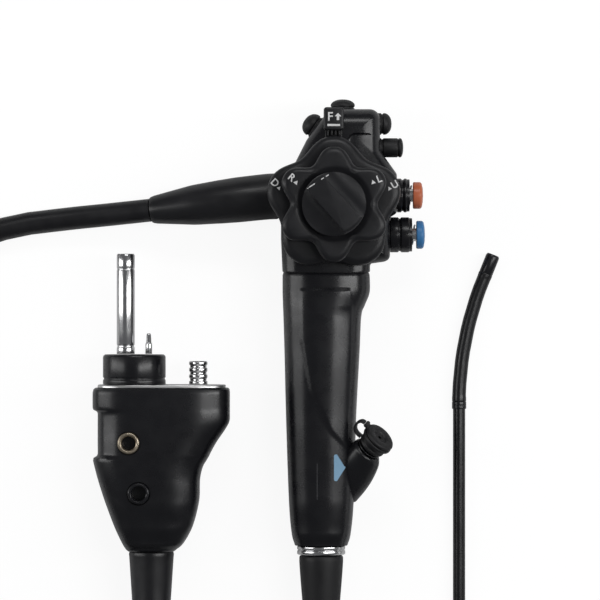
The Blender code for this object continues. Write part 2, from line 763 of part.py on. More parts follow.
# Grip and forceps port

def grip_pieces(parent, black, rubber, metal):
    loops = []
    for below, left, right, depth in GRIP_STATIONS:
        loops.append(oval((left + right) / 2, BODY_AXIS_Z, (right - left) / 2, depth / 2, GRIP_POWER,
                          SEAM_Y - FIT - below))
    lining = []
    for below, left, right, depth in GRIP_STATIONS[::2]:
        half_width = (right - left) / 2 - GRIP_WALL
        half_depth = depth / 2 - GRIP_WALL
        y = SEAM_Y - FIT - below
        lining.append(oval((left + right) / 2, BODY_AXIS_Z, half_width, half_depth, GRIP_POWER, y))
    shell = add("grip_shell", loft("grip_shell", loops + lining[::-1], closed=True), black, parent)
    along = port_axis()
    drill(shell, "cut_port", PORT_RADIUS + FIT, PORT_CENTRE - along * 0.04, PORT_CENTRE - along * 0.006)
    end = SEAM_Y - FIT - GRIP_STATIONS[-1][0]
    _, left, right, depth = GRIP_STATIONS[-1]
    plug = min((right - left) / 2, depth / 2) - GRIP_WALL - FIT
    bore = CHANNEL_RADIUS + FIT
    profile = [(bore, -0.006), (plug, -0.006), (plug, FIT), (END_RING_RADIUS, FIT),
               (END_RING_RADIUS, END_RING_LENGTH), (bore, END_RING_LENGTH)]
    add("grip_end_ring", turned("grip_end_ring", profile, closed=True), metal, parent,
        (GRIP_AXIS_X, end, BODY_AXIS_Z), (0, -1, 0))
    root = end - END_RING_LENGTH - FIT
    tip = TUBE_RADIUS + BOOT_TIP_WALL
    profile = [(BOOT_ROOT_RADIUS - 0.0008, 0)]
    for t in (0.03, 0.25, 0.5, 0.75, 0.98):
        profile.append((BOOT_ROOT_RADIUS + (tip - BOOT_ROOT_RADIUS) * t ** 1.15, BOOT_LENGTH * t))
    profile.append((tip - 0.0006, BOOT_LENGTH))
    place = (GRIP_AXIS_X, root, BODY_AXIS_Z)
    add("insertion_boot", turned("insertion_boot", profile), rubber, parent, place, (0, -1, 0))
    reach = CHANNEL_START_Y - end
    channel = [(CHANNEL_BORE, 0), (CHANNEL_RADIUS, 0), (CHANNEL_RADIUS, reach), (CHANNEL_BORE, reach)]
    place = (GRIP_AXIS_X, CHANNEL_START_Y, BODY_AXIS_Z)
    tube = turned("channel_tube", channel, closed=True, sides=12)
    add("channel_tube", tube, metal, parent, place, (0, -1, 0))


def port_axis():
    flat = math.cos(PORT_RISE)
    return Vector((flat * math.cos(PORT_AZIMUTH), flat * math.sin(PORT_AZIMUTH), math.sin(PORT_RISE)))


def forceps_port(parent, black, rubber):
    along = port_axis()
    under = -LID_THICKNESS / 2 - FIT
    low = under - PORT_CAP_HEIGHT
    profile = [(PORT_BORE, -PORT_INNER), (PORT_RADIUS, -PORT_INNER), (PORT_RADIUS, low - 0.0060),
               (PORT_NECK_RADIUS, low - 0.0030), (PORT_NECK_RADIUS, low - 0.0012), (PORT_RADIUS, low - FIT),
               (PORT_BORE, low - FIT)]
    add("port_branch", turned("port_branch", profile, closed=True), black, parent, PORT_CENTRE, along)
    waist = PORT_CAP_RADIUS * 0.86
    profile = [(PORT_BORE, low), (PORT_NECK_RADIUS, low), (waist, low + 0.0014), (waist, under - 0.0020),
               (PORT_CAP_RADIUS, under - 0.0014), (PORT_CAP_RADIUS, under), (PORT_BORE, under)]
    add("forceps_valve", turned("forceps_valve", profile, closed=True), rubber, parent, PORT_CENTRE, along)
    half = LID_THICKNESS / 2
    rim = PORT_CAP_RADIUS - 0.0003
    profile = [(LID_HOLLOW_RADIUS, 0), (LID_HOLLOW_RADIUS, half), (rim - 0.0006, half), (rim, 0),
               (rim, -half), (LID_SLIT_RADIUS, -half), (LID_SLIT_RADIUS, 0)]
    lid = add("valve_lid", turned("valve_lid", profile, closed=True), rubber, parent)
    aside = Vector((-math.sin(PORT_AZIMUTH), math.cos(PORT_AZIMUTH), 0))
    frame = Matrix((aside.cross(along), aside, along)).transposed().to_4x4()
    lid.data.transform(Matrix.Translation((0, -LID_HINGE_REACH, 0)))
    seat = Matrix.Translation(PORT_CENTRE + aside * LID_HINGE_REACH) @ frame
    lid.matrix_local = seat
    ear = box_corners(-0.0022, -0.0030, 0.0022, 0.0010, 0.0006)
    tool = add("join_ear", prism("join_ear", ear, -half, half / 3), None, parent)
    tool.matrix_local = seat
    boolean(lid, tool, "UNION")


# Cords

def coil_solid(name, centre, mid, radius, pitch, turns, finish, parent):
    """One ring with the outer shape of a coil of cord that is stacked turn on turn."""
    height = pitch * (turns + 0.5)
    edge = radius * 0.6
    inside = mid - radius
    outside = mid + radius
    profile = [(inside, edge), (inside + edge, 0.0001), (outside - edge, 0.0001), (outside, edge)]
    profile += [(outside, height - edge), (outside - edge, height), (inside + edge, height)]
    profile.append((inside, height - edge))
    add(name, turned(name, profile, closed=True, sides=20), finish, parent, centre)


def cords(parent, rubber, skin):
    boot = swept("cord_boot", CORD_BOOT_ROUTE, CORD_BOOT_RADII, CORD_BOOT_NECK, CORD_BOOT_NECK_DEPTH)
    add("cord_boot", boot, rubber, parent)
    near = cord_curve("universal_cord_near", smooth(CORD_NEAR_ROUTE, 0.022), CORD_RADIUS, rubber)
    near.parent = parent
    far = cord_curve("universal_cord_far", smooth(CORD_FAR_ROUTE, 0.018), CORD_RADIUS, rubber)
    far.parent = parent
    coil_solid("universal_cord_coil", CORD_COIL_CENTRE, CORD_COIL_RADIUS, CORD_RADIUS, CORD_COIL_PITCH,
               CORD_COIL_TURNS, rubber, parent)
    near = cord_curve("insertion_tube_near", smooth(TUBE_NEAR_ROUTE, 0.012), TUBE_RADIUS, skin)
    near.parent = parent
    far = cord_curve("insertion_tube_far", smooth(TUBE_FAR_ROUTE, 0.015), TUBE_RADIUS, skin)
    far.parent = parent
    coil_solid("insertion_tube_coil", TUBE_COIL_CENTRE, TUBE_COIL_RADIUS, TUBE_RADIUS, TUBE_COIL_PITCH,
               TUBE_COIL_TURNS, skin, parent)


# Light-guide connector

def connector(parent, black, metal, glass):
    """Places are measured from the middle of the housing's front face."""
    def at(x, ahead=0.0):
        return (x - CONNECTOR_X, ahead, 0)

    loops = []
    for behind, left, right, depth in CONNECTOR_STATIONS:
        middle = (left + right) / 2 - CONNECTOR_X
        loops.append(oval(middle, 0, (right - left) / 2, depth / 2, CONNECTOR_POWER, -behind))
    housing = add("connector_housing", loft("connector_housing", loops), black, parent)
    top = CONNECTOR_STATIONS[3][3] / 2
    ports = (("vent_ring", VENT_X, VENT_Y, metal), ("suction_socket", SOCKET_X, SOCKET_Y, black))
    for name, x, y, finish in ports:
        place = Vector((x - CONNECTOR_X, y - CONNECTOR_FRONT_Y, top - PORT_RING_DEPTH))
        above = place + Vector((0, 0, 0.02))
        drill(housing, f"cut_{name}", PORT_RING_RADIUS + FIT, place - Vector((0, 0, FIT)), above)
        rim = PORT_RING_DEPTH + PORT_RING_STAND
        profile = [(PORT_RING_BORE, 0), (PORT_RING_RADIUS, 0), (PORT_RING_RADIUS, rim - 0.0006),
                   (PORT_RING_RADIUS - 0.0006, rim), (PORT_RING_BORE + 0.0005, rim),
                   (PORT_RING_BORE, rim - 0.0005)]
        add(name, turned(name, profile, closed=True), finish, parent, place)
    _, left, right, depth = CONNECTOR_STATIONS[0]
    middle = (left + right) / 2 - CONNECTOR_X
    half_width = (right - left) / 2 - PLATE_INSET
    half_depth = depth / 2 - PLATE_INSET
    loops = [oval(middle, 0, half_width, half_depth, CONNECTOR_POWER, FIT + y) for y in (0, PLATE_METAL)]
    add("connector_plate", loft("connector_plate", loops), metal, parent)
    front = FIT + PLATE_METAL + FIT
    face = front + BASE_LENGTH
    ahead = (0, 1, 0)
    profile = [(BASE_RADIUS, 0), (BASE_RADIUS, BASE_LENGTH - 0.0010), (BASE_RADIUS - 0.0010, BASE_LENGTH)]
    base = turned("light_guide_base", profile, sides=28)
    add("light_guide_base", base, black, parent, at(BASE_X, front), ahead)
    root = face + FIT
    profile = [(ROD_RADIUS, 0), (ROD_RADIUS, ROD_LENGTH - 0.0010), (ROD_RADIUS - 0.0006, ROD_LENGTH)]
    rod = add("light_guide_rod", turned("light_guide_rod", profile), metal, parent, at(ROD_X, root), ahead)
    tip = root + ROD_LENGTH
    drill(rod, "cut_rod", LENS_RADIUS + FIT, at(ROD_X, tip - ROD_BORE_DEPTH), at(ROD_X, tip + 0.002))
    profile = [(LENS_RADIUS, 0), (LENS_RADIUS, LENS_THICKNESS * 0.7), (LENS_RADIUS * 0.5, LENS_THICKNESS)]
    add("light_guide_lens", turned("light_guide_lens", profile), glass, parent,
        at(ROD_X, tip - ROD_BORE_DEPTH + FIT), ahead)
    profile = [(PIN_RADIUS, 0), (PIN_RADIUS, PIN_LENGTH * 0.5), (PIN_TIP_RADIUS, PIN_LENGTH)]
    add("air_pin", turned("air_pin", profile, sides=12), metal, parent, at(PIN_X, root), ahead)
    pipe(parent, metal, at(PIPE_X, front), ahead)
    boot = add("connector_boot", swept("connector_boot", CONNECTOR_BOOT_ROUTE, CONNECTOR_BOOT_RADII), black)
    boot.parent = parent
    boot.matrix_local = Matrix.Translation(-parent.location)


def pipe(parent, metal, place, ahead):
    """The air and water pipe, with round ribs that grip a hose."""
    outer = [(PIPE_RADIUS, 0)]
    rib = PIPE_LENGTH / (2 * PIPE_RIBS + 1)
    for i in range(PIPE_RIBS):
        start = rib * (2 * i + 1)
        outer += [(PIPE_RADIUS - PIPE_RIB_DEPTH, start), (PIPE_RADIUS - PIPE_RIB_DEPTH, start + rib * 0.6),
                  (PIPE_RADIUS, start + rib)]
    outer += [(PIPE_RADIUS, PIPE_LENGTH - 0.0005), (PIPE_RADIUS - 0.0005, PIPE_LENGTH)]
    profile = [(PIPE_BORE, 0), *outer, (PIPE_BORE, PIPE_LENGTH)]
    tube = turned("water_pipe", profile, closed=True, sides=12)
    add("water_pipe", tube, metal, parent, place, ahead)


# Bending section

def link_angles():
    """Angles round a link, close together where lobes and cups begin."""
    lip = math.asin(min(0.95, (LINK_RADIUS * math.sin(LOBE_ANGLE) + FIT) / (LINK_RADIUS - LINK_WALL)))
    shoulder = LOBE_ANGLE + math.radians(2.5)
    first = [0, LOBE_ANGLE, shoulder, lip]
    quarter = first + [math.pi / 2 - a for a in reversed(first)]
    return [a + math.pi / 2 * side for side in range(4) for a in quarter[:-1]]


def hinge_offset(angle, kind, radius):
    """Distance of a point on the link's wall from the plane that holds the hinge and the tube's axis."""
    return abs(radius * (math.sin(angle) if kind == "ud" else math.cos(angle)))


def lobe_end(angle, kind):
    """Height above the hinge of a link's upper end, which carries the round lobes."""
    reach = LINK_RADIUS * math.sin(LOBE_ANGLE)
    x = hinge_offset(angle, kind, LINK_RADIUS)
    if x < reach + 1e-6:
        return math.sqrt(max(reach ** 2 - x ** 2, 0))
    return -LOBE_DROP - (x - reach) * math.tan(WEDGE)


def cup_end(angle, kind):
    """Height above the hinge of a link's lower end, whose cups sit on the lobes below."""
    reach = LINK_RADIUS * math.sin(LOBE_ANGLE) + FIT
    x = hinge_offset(angle, kind, LINK_RADIUS - LINK_WALL)
    if x < reach - 1e-6:
        return math.sqrt(reach ** 2 - x ** 2)
    return (x - reach) * math.tan(WEDGE)


def link_loop(radius, height):
    """One loop round a link; height is a function of the angle."""
    return [Vector((radius * math.cos(a), radius * math.sin(a), height(a))) for a in link_angles()]


def level(height):
    """The same height at every angle."""
    return lambda angle: height


def bending_section(metal, rubber, plastic):
    bore = LINK_RADIUS - LINK_WALL
    first = LINK_PATTERN[0]

    def base_lobes(angle):
        return FIRST_HINGE + lobe_end(angle, first)

    edge = JOINT_RING_EDGE
    profile = [(bore, 0), (JOINT_RING_RADIUS - edge, 0), (JOINT_RING_RADIUS, edge),
               (JOINT_RING_RADIUS, JOINT_RING_LENGTH - edge), (JOINT_RING_RADIUS - edge, JOINT_RING_LENGTH),
               (LINK_RADIUS, JOINT_RING_LENGTH)]
    loops = [link_loop(radius, level(height)) for radius, height in profile]
    loops += [link_loop(LINK_RADIUS, base_lobes), link_loop(bore, base_lobes)]
    base = add("joint_ring", loft("joint_ring", loops, closed=True), metal)
    base.matrix_world = Matrix.Translation(BEND_START) @ Matrix(((0, 1, 0), (0, 0, 1), (1, 0, 0))).to_4x4()
    turn = -REST_BEND / LINK_PATTERN.count("ud")
    place = base.matrix_world @ Matrix.Translation((0, 0, FIRST_HINGE))
    route = [base.matrix_world @ Vector((0, 0, JOINT_RING_LENGTH + FIT))]
    axes = [base.matrix_world.to_3x3()]
    for i, kind in enumerate(LINK_PATTERN):
        before = place.to_3x3()
        if kind == "ud":
            place = place @ Matrix.Rotation(turn, 4, "X")
        route.append(place.translation)
        axes.append(before.lerp(place.to_3x3(), 0.5))
        last = i == len(LINK_PATTERN) - 1
        if last:
            distal_tip(kind, plastic, place)
            break
        after = LINK_PATTERN[i + 1]
        loops = [link_loop(bore, lambda a: cup_end(a, kind)),
                 link_loop(LINK_RADIUS, lambda a: cup_end(a, kind)),
                 link_loop(LINK_RADIUS, lambda a: LINK_PITCH + lobe_end(a, after)),
                 link_loop(bore, lambda a: LINK_PITCH + lobe_end(a, after))]
        name = f"bending_ring_{i + 1:02d}"
        link = add(name, loft(name, loops, closed=True), metal)
        link.matrix_world = place
        place = place @ Matrix.Translation((0, 0, LINK_PITCH))
    route.append(place @ Vector((0, 0, TIP_SHOULDER - FIT)))
    axes.append(place.to_3x3())
    sheath_loops(route, axes, rubber)


def sheath_loops(route, axes, rubber):
    """The rubber sheath over the links, from the joint ring to the tip's shoulder."""
    inside = LINK_RADIUS + FIT
    outer = [[p + axis @ q for q in circle(inside + SHEATH_WALL, 0, 12)] for p, axis in zip(route, axes)]
    inner = [[p + axis @ q for q in circle(inside, 0, 12)] for p, axis in zip(route, axes)]
    add("bending_sheath", loft("bending_sheath", outer + inner[::-1], closed=True), rubber)


def distal_tip(kind, plastic, place):
    bore = LINK_RADIUS - LINK_WALL

    def cups(angle):
        return cup_end(angle, kind)

    loops = [link_loop(bore, level(TIP_SHOULDER)), link_loop(bore, cups), link_loop(LINK_RADIUS, cups)]
    for radius, height in ((LINK_RADIUS, TIP_SHOULDER), (TIP_RADIUS, TIP_SHOULDER),
                           (TIP_RADIUS, TIP_LENGTH - TIP_EDGE), (TIP_RADIUS - TIP_EDGE, TIP_LENGTH)):
        loops.append(link_loop(radius, level(height)))
    tip = add("distal_tip", loft("distal_tip", loops), plastic)
    tip.matrix_world = place
    for name, radius, x, y in (("cut_channel", TIP_CHANNEL_RADIUS, -0.0012, 0.0),
                               ("cut_lens", TIP_LENS_RADIUS, 0.0012, 0.0009)):
        tool = add(name, turned(name, [(radius, 0), (radius, TIP_BORE_DEPTH + 0.001)], sides=12), None)
        tool.matrix_world = place @ Matrix.Translation((x, y, TIP_LENGTH - TIP_BORE_DEPTH))
        boolean(tip, tool, "DIFFERENCE")


def main():
    clear_scene()
    black = material("black_plastic", (0.018, 0.019, 0.022), 0.35)
    knob = material("knob_plastic", (0.022, 0.023, 0.026), 0.42)
    rubber = material("black_rubber", (0.016, 0.016, 0.018), 0.6)
    skin = material("tube_coating", (0.014, 0.014, 0.016), 0.3)
    metal = material("polished_steel", (0.62, 0.62, 0.63), 0.22, 1.0)
    brass = material("brass", (0.72, 0.55, 0.30), 0.28, 1.0)
    salmon = material("suction_cap", (0.80, 0.27, 0.17), 0.4)
    blue = material("air_water_cap", (0.10, 0.30, 0.62), 0.4)
    glass = material("lens_glass", (0.75, 0.80, 0.85), 0.05)
    section = group("control_section")
    head_pieces(section, black, metal)
    knob_stack(section, knob, metal)
    switch_caps(section, rubber)
    suction = ("suction", SUCTION_Y, VALVE_SIDE_X, SUCTION_RIM_X, SUCTION_CAP_X, SUCTION_CAP_RADIUS,
               SUCTION_CAP_HEIGHT)
    valve(suction, salmon, black, metal, section)
    air_water = ("air_water", WATER_Y, WATER_SIDE_X, WATER_RIM_X, WATER_CAP_X, WATER_CAP_RADIUS,
                 WATER_CAP_HEIGHT)
    valve(air_water, blue, black, metal, section)
    grip_pieces(section, black, rubber, metal)
    forceps_port(section, black, rubber)
    cords(section, rubber, skin)
    plug = group("light_guide_connector", (CONNECTOR_X, CONNECTOR_FRONT_Y, CONNECTOR_Z))
    connector(plug, black, metal, glass)
    bpy.data.objects["vent_ring"].data.materials[0] = brass
    bending_section(metal, rubber, black)


main()
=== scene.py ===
# %% [markdown]
# # A slim flexible endoscope on a white table
# The object is a medical camera on a long bendable tube. It lies flat with its control knobs up,
# and the camera looks straight down at it, so the picture shows three upright groups: the
# light-guide connector on the left, the control section in the middle and the bending tip on the
# right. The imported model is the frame: every new piece is placed from it and rides on its bodies.

# %% Load the frame
import json
import math

import bpy
from mathutils import Matrix, Vector


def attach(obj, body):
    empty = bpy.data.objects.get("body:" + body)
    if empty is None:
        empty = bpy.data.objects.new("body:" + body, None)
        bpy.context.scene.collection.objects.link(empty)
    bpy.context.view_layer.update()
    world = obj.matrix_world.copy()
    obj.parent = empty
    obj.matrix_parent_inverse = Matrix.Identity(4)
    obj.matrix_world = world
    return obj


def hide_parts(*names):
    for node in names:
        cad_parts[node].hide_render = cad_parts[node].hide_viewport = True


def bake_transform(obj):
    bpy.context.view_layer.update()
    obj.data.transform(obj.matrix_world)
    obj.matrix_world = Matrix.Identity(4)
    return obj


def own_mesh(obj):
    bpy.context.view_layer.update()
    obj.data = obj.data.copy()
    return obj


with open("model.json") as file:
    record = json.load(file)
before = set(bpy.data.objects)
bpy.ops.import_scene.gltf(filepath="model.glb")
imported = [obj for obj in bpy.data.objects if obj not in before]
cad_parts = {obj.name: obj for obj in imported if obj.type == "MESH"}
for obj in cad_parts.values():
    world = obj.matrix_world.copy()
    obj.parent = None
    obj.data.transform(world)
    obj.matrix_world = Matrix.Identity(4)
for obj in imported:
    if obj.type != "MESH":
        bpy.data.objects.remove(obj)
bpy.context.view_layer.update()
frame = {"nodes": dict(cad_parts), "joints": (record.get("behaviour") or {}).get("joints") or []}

# %% [markdown]
# ## Camera
# The picture looks straight down, so one picture pixel is one small square of the table. Two
# values tie them together: the size of a pixel on the object, and the pixel that shows the knob
# axis, which is x = y = 0 in the frame. The picture has almost no perspective, as from a long lens
# far away, so a 277 mm lens stands 2.2 m above. Sizes of the object are in millimetres throughout.

# %% Camera
MM = 0.001                   # Blender works in metres
PIXEL = 0.476                # one pixel of the picture, on the object
PICTURE_PX = 600
KNOB_AXIS_PX = (333.5, 205.5)
CAMERA_RISE = 2200
FOCUS_HEIGHT = 30            # the height on the object at which PIXEL holds
SENSOR = 36

aim_x = (PICTURE_PX / 2 - KNOB_AXIS_PX[0]) * PIXEL
aim_y = (KNOB_AXIS_PX[1] - PICTURE_PX / 2) * PIXEL
bpy.ops.object.camera_add(location=Vector((aim_x, aim_y, FOCUS_HEIGHT + CAMERA_RISE)) * MM, rotation=(0, 0, 0))
camera = bpy.context.object
camera.name = "top_camera"
camera.data.sensor_width = SENSOR
camera.data.lens = SENSOR * CAMERA_RISE / (PICTURE_PX * PIXEL)
bpy.context.scene.camera = camera
print("lens:", round(camera.data.lens), "mm")

# %% [markdown]
# ## Table, world and lamps
# A glossy black object has almost no colour of its own: what the eye reads is what it mirrors.
# Long soft boxes at both sides draw the bright streaks on the grip and the tube, and a dim one
# overhead keeps the faces that look up from going flat black. The table is white, and seen by
# the camera it is a little brighter, as on paper, but it keeps the soft shadow.

# %% Shader tools
def set_inputs(tree, node, inputs):
    """Sets the inputs of a shader node: an output is linked, and anything else is a value."""
    for socket, value in inputs.items():
        if isinstance(value, bpy.types.NodeSocket):
            tree.links.new(value, node.inputs[socket])
        else:
            node.inputs[socket].default_value = value
    return node


def new_node(tree, kind, inputs, **settings):
    """Adds one shader node."""
    node = tree.nodes.new("ShaderNode" + kind)
    for setting, value in settings.items():
        setattr(node, setting, value)
    return set_inputs(tree, node, inputs)


def new_material(name):
    """A material, its tree and its surface node."""
    made = bpy.data.materials.new(name)
    made.use_nodes = True
    return made, made.node_tree, made.node_tree.nodes["Principled BSDF"]


# %% Table and world
TABLE_Z = -0.2               # just under the object
TABLE_SIZE = 6000
TABLE_WHITE = 0.86
GLOW = 1.08
GLOW_SHARE = 0.84            # how much of the table the camera sees as glow, the rest takes shadow
WORLD_LIGHT = 0.15

bpy.ops.mesh.primitive_plane_add(size=TABLE_SIZE * MM, location=(0, 0, TABLE_Z * MM))
table = bpy.context.object
table.name = "white_table"
paper, tree, surface = new_material("table_white")
set_inputs(tree, surface, {"Base Color": (TABLE_WHITE, TABLE_WHITE, TABLE_WHITE, 1), "Roughness": 0.9})
glow = new_node(tree, "Emission", {"Color": (1, 1, 1, 1), "Strength": GLOW})
seen = new_node(tree, "LightPath", {})
share = new_node(tree, "Math", {0: seen.outputs["Is Camera Ray"], 1: GLOW_SHARE}, operation="MULTIPLY")
mixed = new_node(tree, "MixShader", {"Fac": share.outputs[0], 1: surface.outputs[0], 2: glow.outputs[0]})
set_inputs(tree, tree.nodes["Material Output"], {"Surface": mixed.outputs[0]})
table.data.materials.append(paper)

world = bpy.data.worlds.new("studio")
bpy.context.scene.world = world
world.use_nodes = True
background = world.node_tree.nodes["Background"]
set_inputs(world.node_tree, background, {"Color": (0.95, 0.97, 1.0, 1), "Strength": WORLD_LIGHT})
bpy.context.scene.view_settings.view_transform = "Standard"

# %% Soft boxes
SUBJECT = Vector((-0.02, -0.05, 0.03))     # metres, like the lamps
SOFT_BOXES = {"right_box": ((0.86, 0.02, 1.05), 0.26, 1.3, 8), "left_box": ((-1.35, 0.05, 0.62), 0.36, 1.5, 7),
              "top_box": ((0.15, 1.00, 1.15), 1.0, 0.3, 6)}
for name, (place, width, height, watts) in SOFT_BOXES.items():
    bpy.ops.object.light_add(type="AREA", location=place)
    lamp = bpy.context.object
    lamp.name = name
    lamp.data.shape = "RECTANGLE"
    lamp.data.size = width
    lamp.data.size_y = height
    lamp.data.energy = watts
    lamp.rotation_euler = (SUBJECT - Vector(place)).to_track_quat("-Z", "Y").to_euler()
print("lamps:", *SOFT_BOXES)

# %% [markdown]
# ## Patterns for the finishes
# No moulded or turned surface is one flat colour. Noise on the object's own coordinates gives the
# slow change of tone, a finer noise gives the change of gloss, and the finest one gives the grain
# that the mould or the tool left. Each finish below only sets the sizes of those three.

# %% Finish helper
TONE_NOISE = 35
WEAR_NOISE = 140
NOISE_LOW = 0.32             # the noise keeps mostly between these two
NOISE_HIGH = 0.68


def noise(tree, scale, squeeze=(1, 1, 1)):
    """Noise on object coordinates; a small squeeze draws the pattern out along that axis."""
    place = new_node(tree, "TexCoord", {})
    stretch = new_node(tree, "Mapping", {"Vector": place.outputs["Object"], "Scale": squeeze})
    inputs = {"Vector": stretch.outputs["Vector"], "Scale": scale, "Detail": 3.0}
    return new_node(tree, "TexNoise", inputs).outputs["Fac"]


def between(tree, pattern, low, high):
    """Turns a pattern into values that run from low to high."""
    inputs = {"Value": pattern, "From Min": NOISE_LOW, "From Max": NOISE_HIGH, "To Min": low, "To Max": high}
    return new_node(tree, "MapRange", inputs).outputs["Result"]


def two_tones(tree, dark, light, pattern):
    """Two colours, in thousandths of full brightness, mixed by a pattern."""
    a, b = ((*(part / 1000 for part in tone), 1) for tone in (dark, light))
    inputs = {"A": a, "B": b, "Factor": between(tree, pattern, 0, 1)}
    return new_node(tree, "Mix", inputs, data_type="RGBA").outputs["Result"]


def finish(name, dark, light, gloss, grain, coat=0.0, metallic=0.0, squeeze=(1, 1, 1)):
    """A finish from two tones, a lowest and highest roughness, and a grain size and depth."""
    made, tree, surface = new_material(name)
    size, depth = (measure * MM for measure in grain)
    bump = new_node(tree, "Bump", {"Strength": 1.0, "Distance": depth, "Height": noise(tree, 1 / size, squeeze)})
    set_inputs(tree, surface, {
        "Base Color": two_tones(tree, dark, light, noise(tree, TONE_NOISE, squeeze)),
        "Roughness": between(tree, noise(tree, WEAR_NOISE, squeeze), *gloss),
        "Normal": bump.outputs["Normal"], "Metallic": metallic, "Specular IOR Level": 0.5 if metallic else 0.38,
        "Coat Weight": coat, "Coat Roughness": 0.12})
    return made


# %% [markdown]
# ## The finishes of this instrument
# The housings are a satin black plastic with a faint blue cast, the knobs a drier one, the boots a
# dull rubber. The tube has a thin hard coating that shines. The metal parts are turned steel, and
# the stretched noise on them gives the fine rings that a lathe leaves.

# %% Finishes
HOUSING_BLACK = finish("housing_black", (5.5, 5.6, 7.2), (8, 8.1, 10), (0.24, 0.32),
                       (0.35, 0.005), 0.05)
KNOB_BLACK = finish("knob_black", (6.5, 6.6, 8.2), (9, 9.1, 11), (0.34, 0.44), (0.30, 0.018))
SOFT_RUBBER = finish("soft_rubber", (5.5, 5.5, 6.4), (8.5, 8.5, 9.5), (0.44, 0.56), (0.40, 0.025))
CORD_RUBBER = finish("cord_rubber", (7, 7, 8.4), (10.5, 10.5, 12.2), (0.32, 0.42),
                     (0.60, 0.015), 0.05)
TUBE_COATING = finish("tube_coating", (4.5, 4.5, 5), (7, 7, 7.6), (0.22, 0.30), (0.50, 0.008), 0.10)
BENDING_RUBBER = finish("bending_rubber", (6, 6, 6.8), (9, 9, 10), (0.28, 0.38),
                        (0.40, 0.010), 0.05)
DEEP_BLACK = finish("deep_black", (3, 3, 3.5), (5, 5, 5.5), (0.60, 0.75), (0.40, 0.010))
BRIGHT_STEEL = finish("bright_steel", (560, 560, 570), (660, 660, 660), (0.14, 0.22),
                      (0.25, 0.003), metallic=1.0, squeeze=(0.05, 1, 0.05))
SIDE_STEEL = finish("side_steel", (520, 520, 530), (640, 640, 640), (0.18, 0.28),
                    (0.25, 0.004), metallic=1.0, squeeze=(1, 0.05, 0.05))
PLATE_STEEL = finish("plate_steel", (580, 580, 580), (700, 700, 700), (0.30, 0.42),
                     (0.20, 0.005), metallic=1.0, squeeze=(0.08, 1, 1))
SOCKET_BRASS = finish("socket_brass", (340, 290, 220), (500, 430, 330), (0.24, 0.36),
                      (0.20, 0.006), metallic=1.0)
SUCTION_ORANGE = finish("suction_orange", (560, 145, 65), (640, 185, 90), (0.30, 0.42),
                        (0.30, 0.010))
WATER_BLUE = finish("water_blue", (40, 180, 420), (60, 230, 500), (0.30, 0.42), (0.30, 0.010))
MARK_WHITE = finish("mark_white", (620, 620, 620), (800, 800, 800), (0.50, 0.62), (0.30, 0.010))
MARK_GREY = finish("mark_grey", (45, 45, 50), (60, 60, 65), (0.50, 0.62), (0.30, 0.010))
MARK_BLUE = finish("mark_blue", (190, 360, 520), (250, 430, 600), (0.45, 0.55), (0.30, 0.010))
CHANNEL_PLASTIC = finish("channel_plastic", (600, 600, 560), (700, 700, 660), (0.24, 0.34), (0.40, 0.006))

LENS_GLASS, tree, surface = new_material("lens_glass")
set_inputs(tree, surface, {"Roughness": 0.04, "IOR": 1.5, "Coat Weight": 0.6,
                           "Base Color": two_tones(tree, (20, 25, 40), (100, 130, 180), noise(tree, 300))})

# %% [markdown]
# ## Tools for the pieces
# Most rigid pieces here are either turned on a lathe or drawn through a row of outlines. For the
# first, half a section is drawn and spun. For the second, a filled circle is put on the first
# outline and extruded once for each of the others. Both leave clean rings of faces, which take a
# bevel well. Whatever repeats gets the same tool with other sizes.

# %% Editing tools
MERGE = 0.002                # vertices this near are one


def only(piece=None):
    """Leaves edit mode, and makes this the one selected piece."""
    if bpy.context.mode != "OBJECT":
        bpy.ops.object.mode_set(mode="OBJECT")
    bpy.ops.object.select_all(action="DESELECT")
    if piece:
        piece.select_set(True)
        bpy.context.view_layer.objects.active = piece
    return piece


def edit(kind="FACE"):
    """Enters edit mode, with this kind of element to pick from."""
    bpy.context.tool_settings.mesh_select_mode = [kind == each for each in ("VERT", "EDGE", "FACE")]
    bpy.ops.object.mode_set(mode="EDIT")


def named(piece, name):
    piece.name = name
    piece.data.name = name
    return piece


def put_last(piece, ring):
    """Puts the vertices that were made last on the points of a ring."""
    for vert, point in zip(piece.data.vertices[-len(ring):], ring):
        vert.co = point * MM


def smooth(piece, degrees):
    """Shades smooth all but the edges sharper than this."""
    only(piece)
    bpy.ops.object.shade_smooth_by_angle(angle=math.radians(degrees))
    return piece


def apply(piece, kind, **settings):
    """Adds one modifier and applies it."""
    step = piece.modifiers.new(kind.title(), kind)
    for setting, value in settings.items():
        setattr(step, setting, value)
    only(piece)
    bpy.ops.object.modifier_apply(modifier=step.name)
    return piece


def combine(piece, *others, operation="DIFFERENCE"):
    """Cuts the others out of the piece, or fuses them with it."""
    for other in others:
        apply(piece, "BOOLEAN", operation=operation, solver="EXACT", object=other)
        bpy.data.objects.remove(other)
    return piece


def soften(piece, width, segments=3, sharp=30):
    """Rounds every sharp edge, then shades the rest smooth."""
    apply(piece, "BEVEL", width=width * MM, segments=segments, limit_method="ANGLE",
          angle_limit=math.radians(sharp))
    return smooth(piece, 38)


def outward(piece):
    """Merges doubles and turns every face outwards."""
    only(piece)
    edit()
    bpy.ops.mesh.select_all(action="SELECT")
    bpy.ops.mesh.remove_doubles(threshold=MERGE * MM)
    bpy.ops.mesh.normals_make_consistent(inside=False)
    bpy.ops.object.mode_set(mode="OBJECT")
    if sum(face.center.dot(face.normal) * face.area for face in piece.data.polygons) < 0:
        piece.data.flip_normals()
    return piece


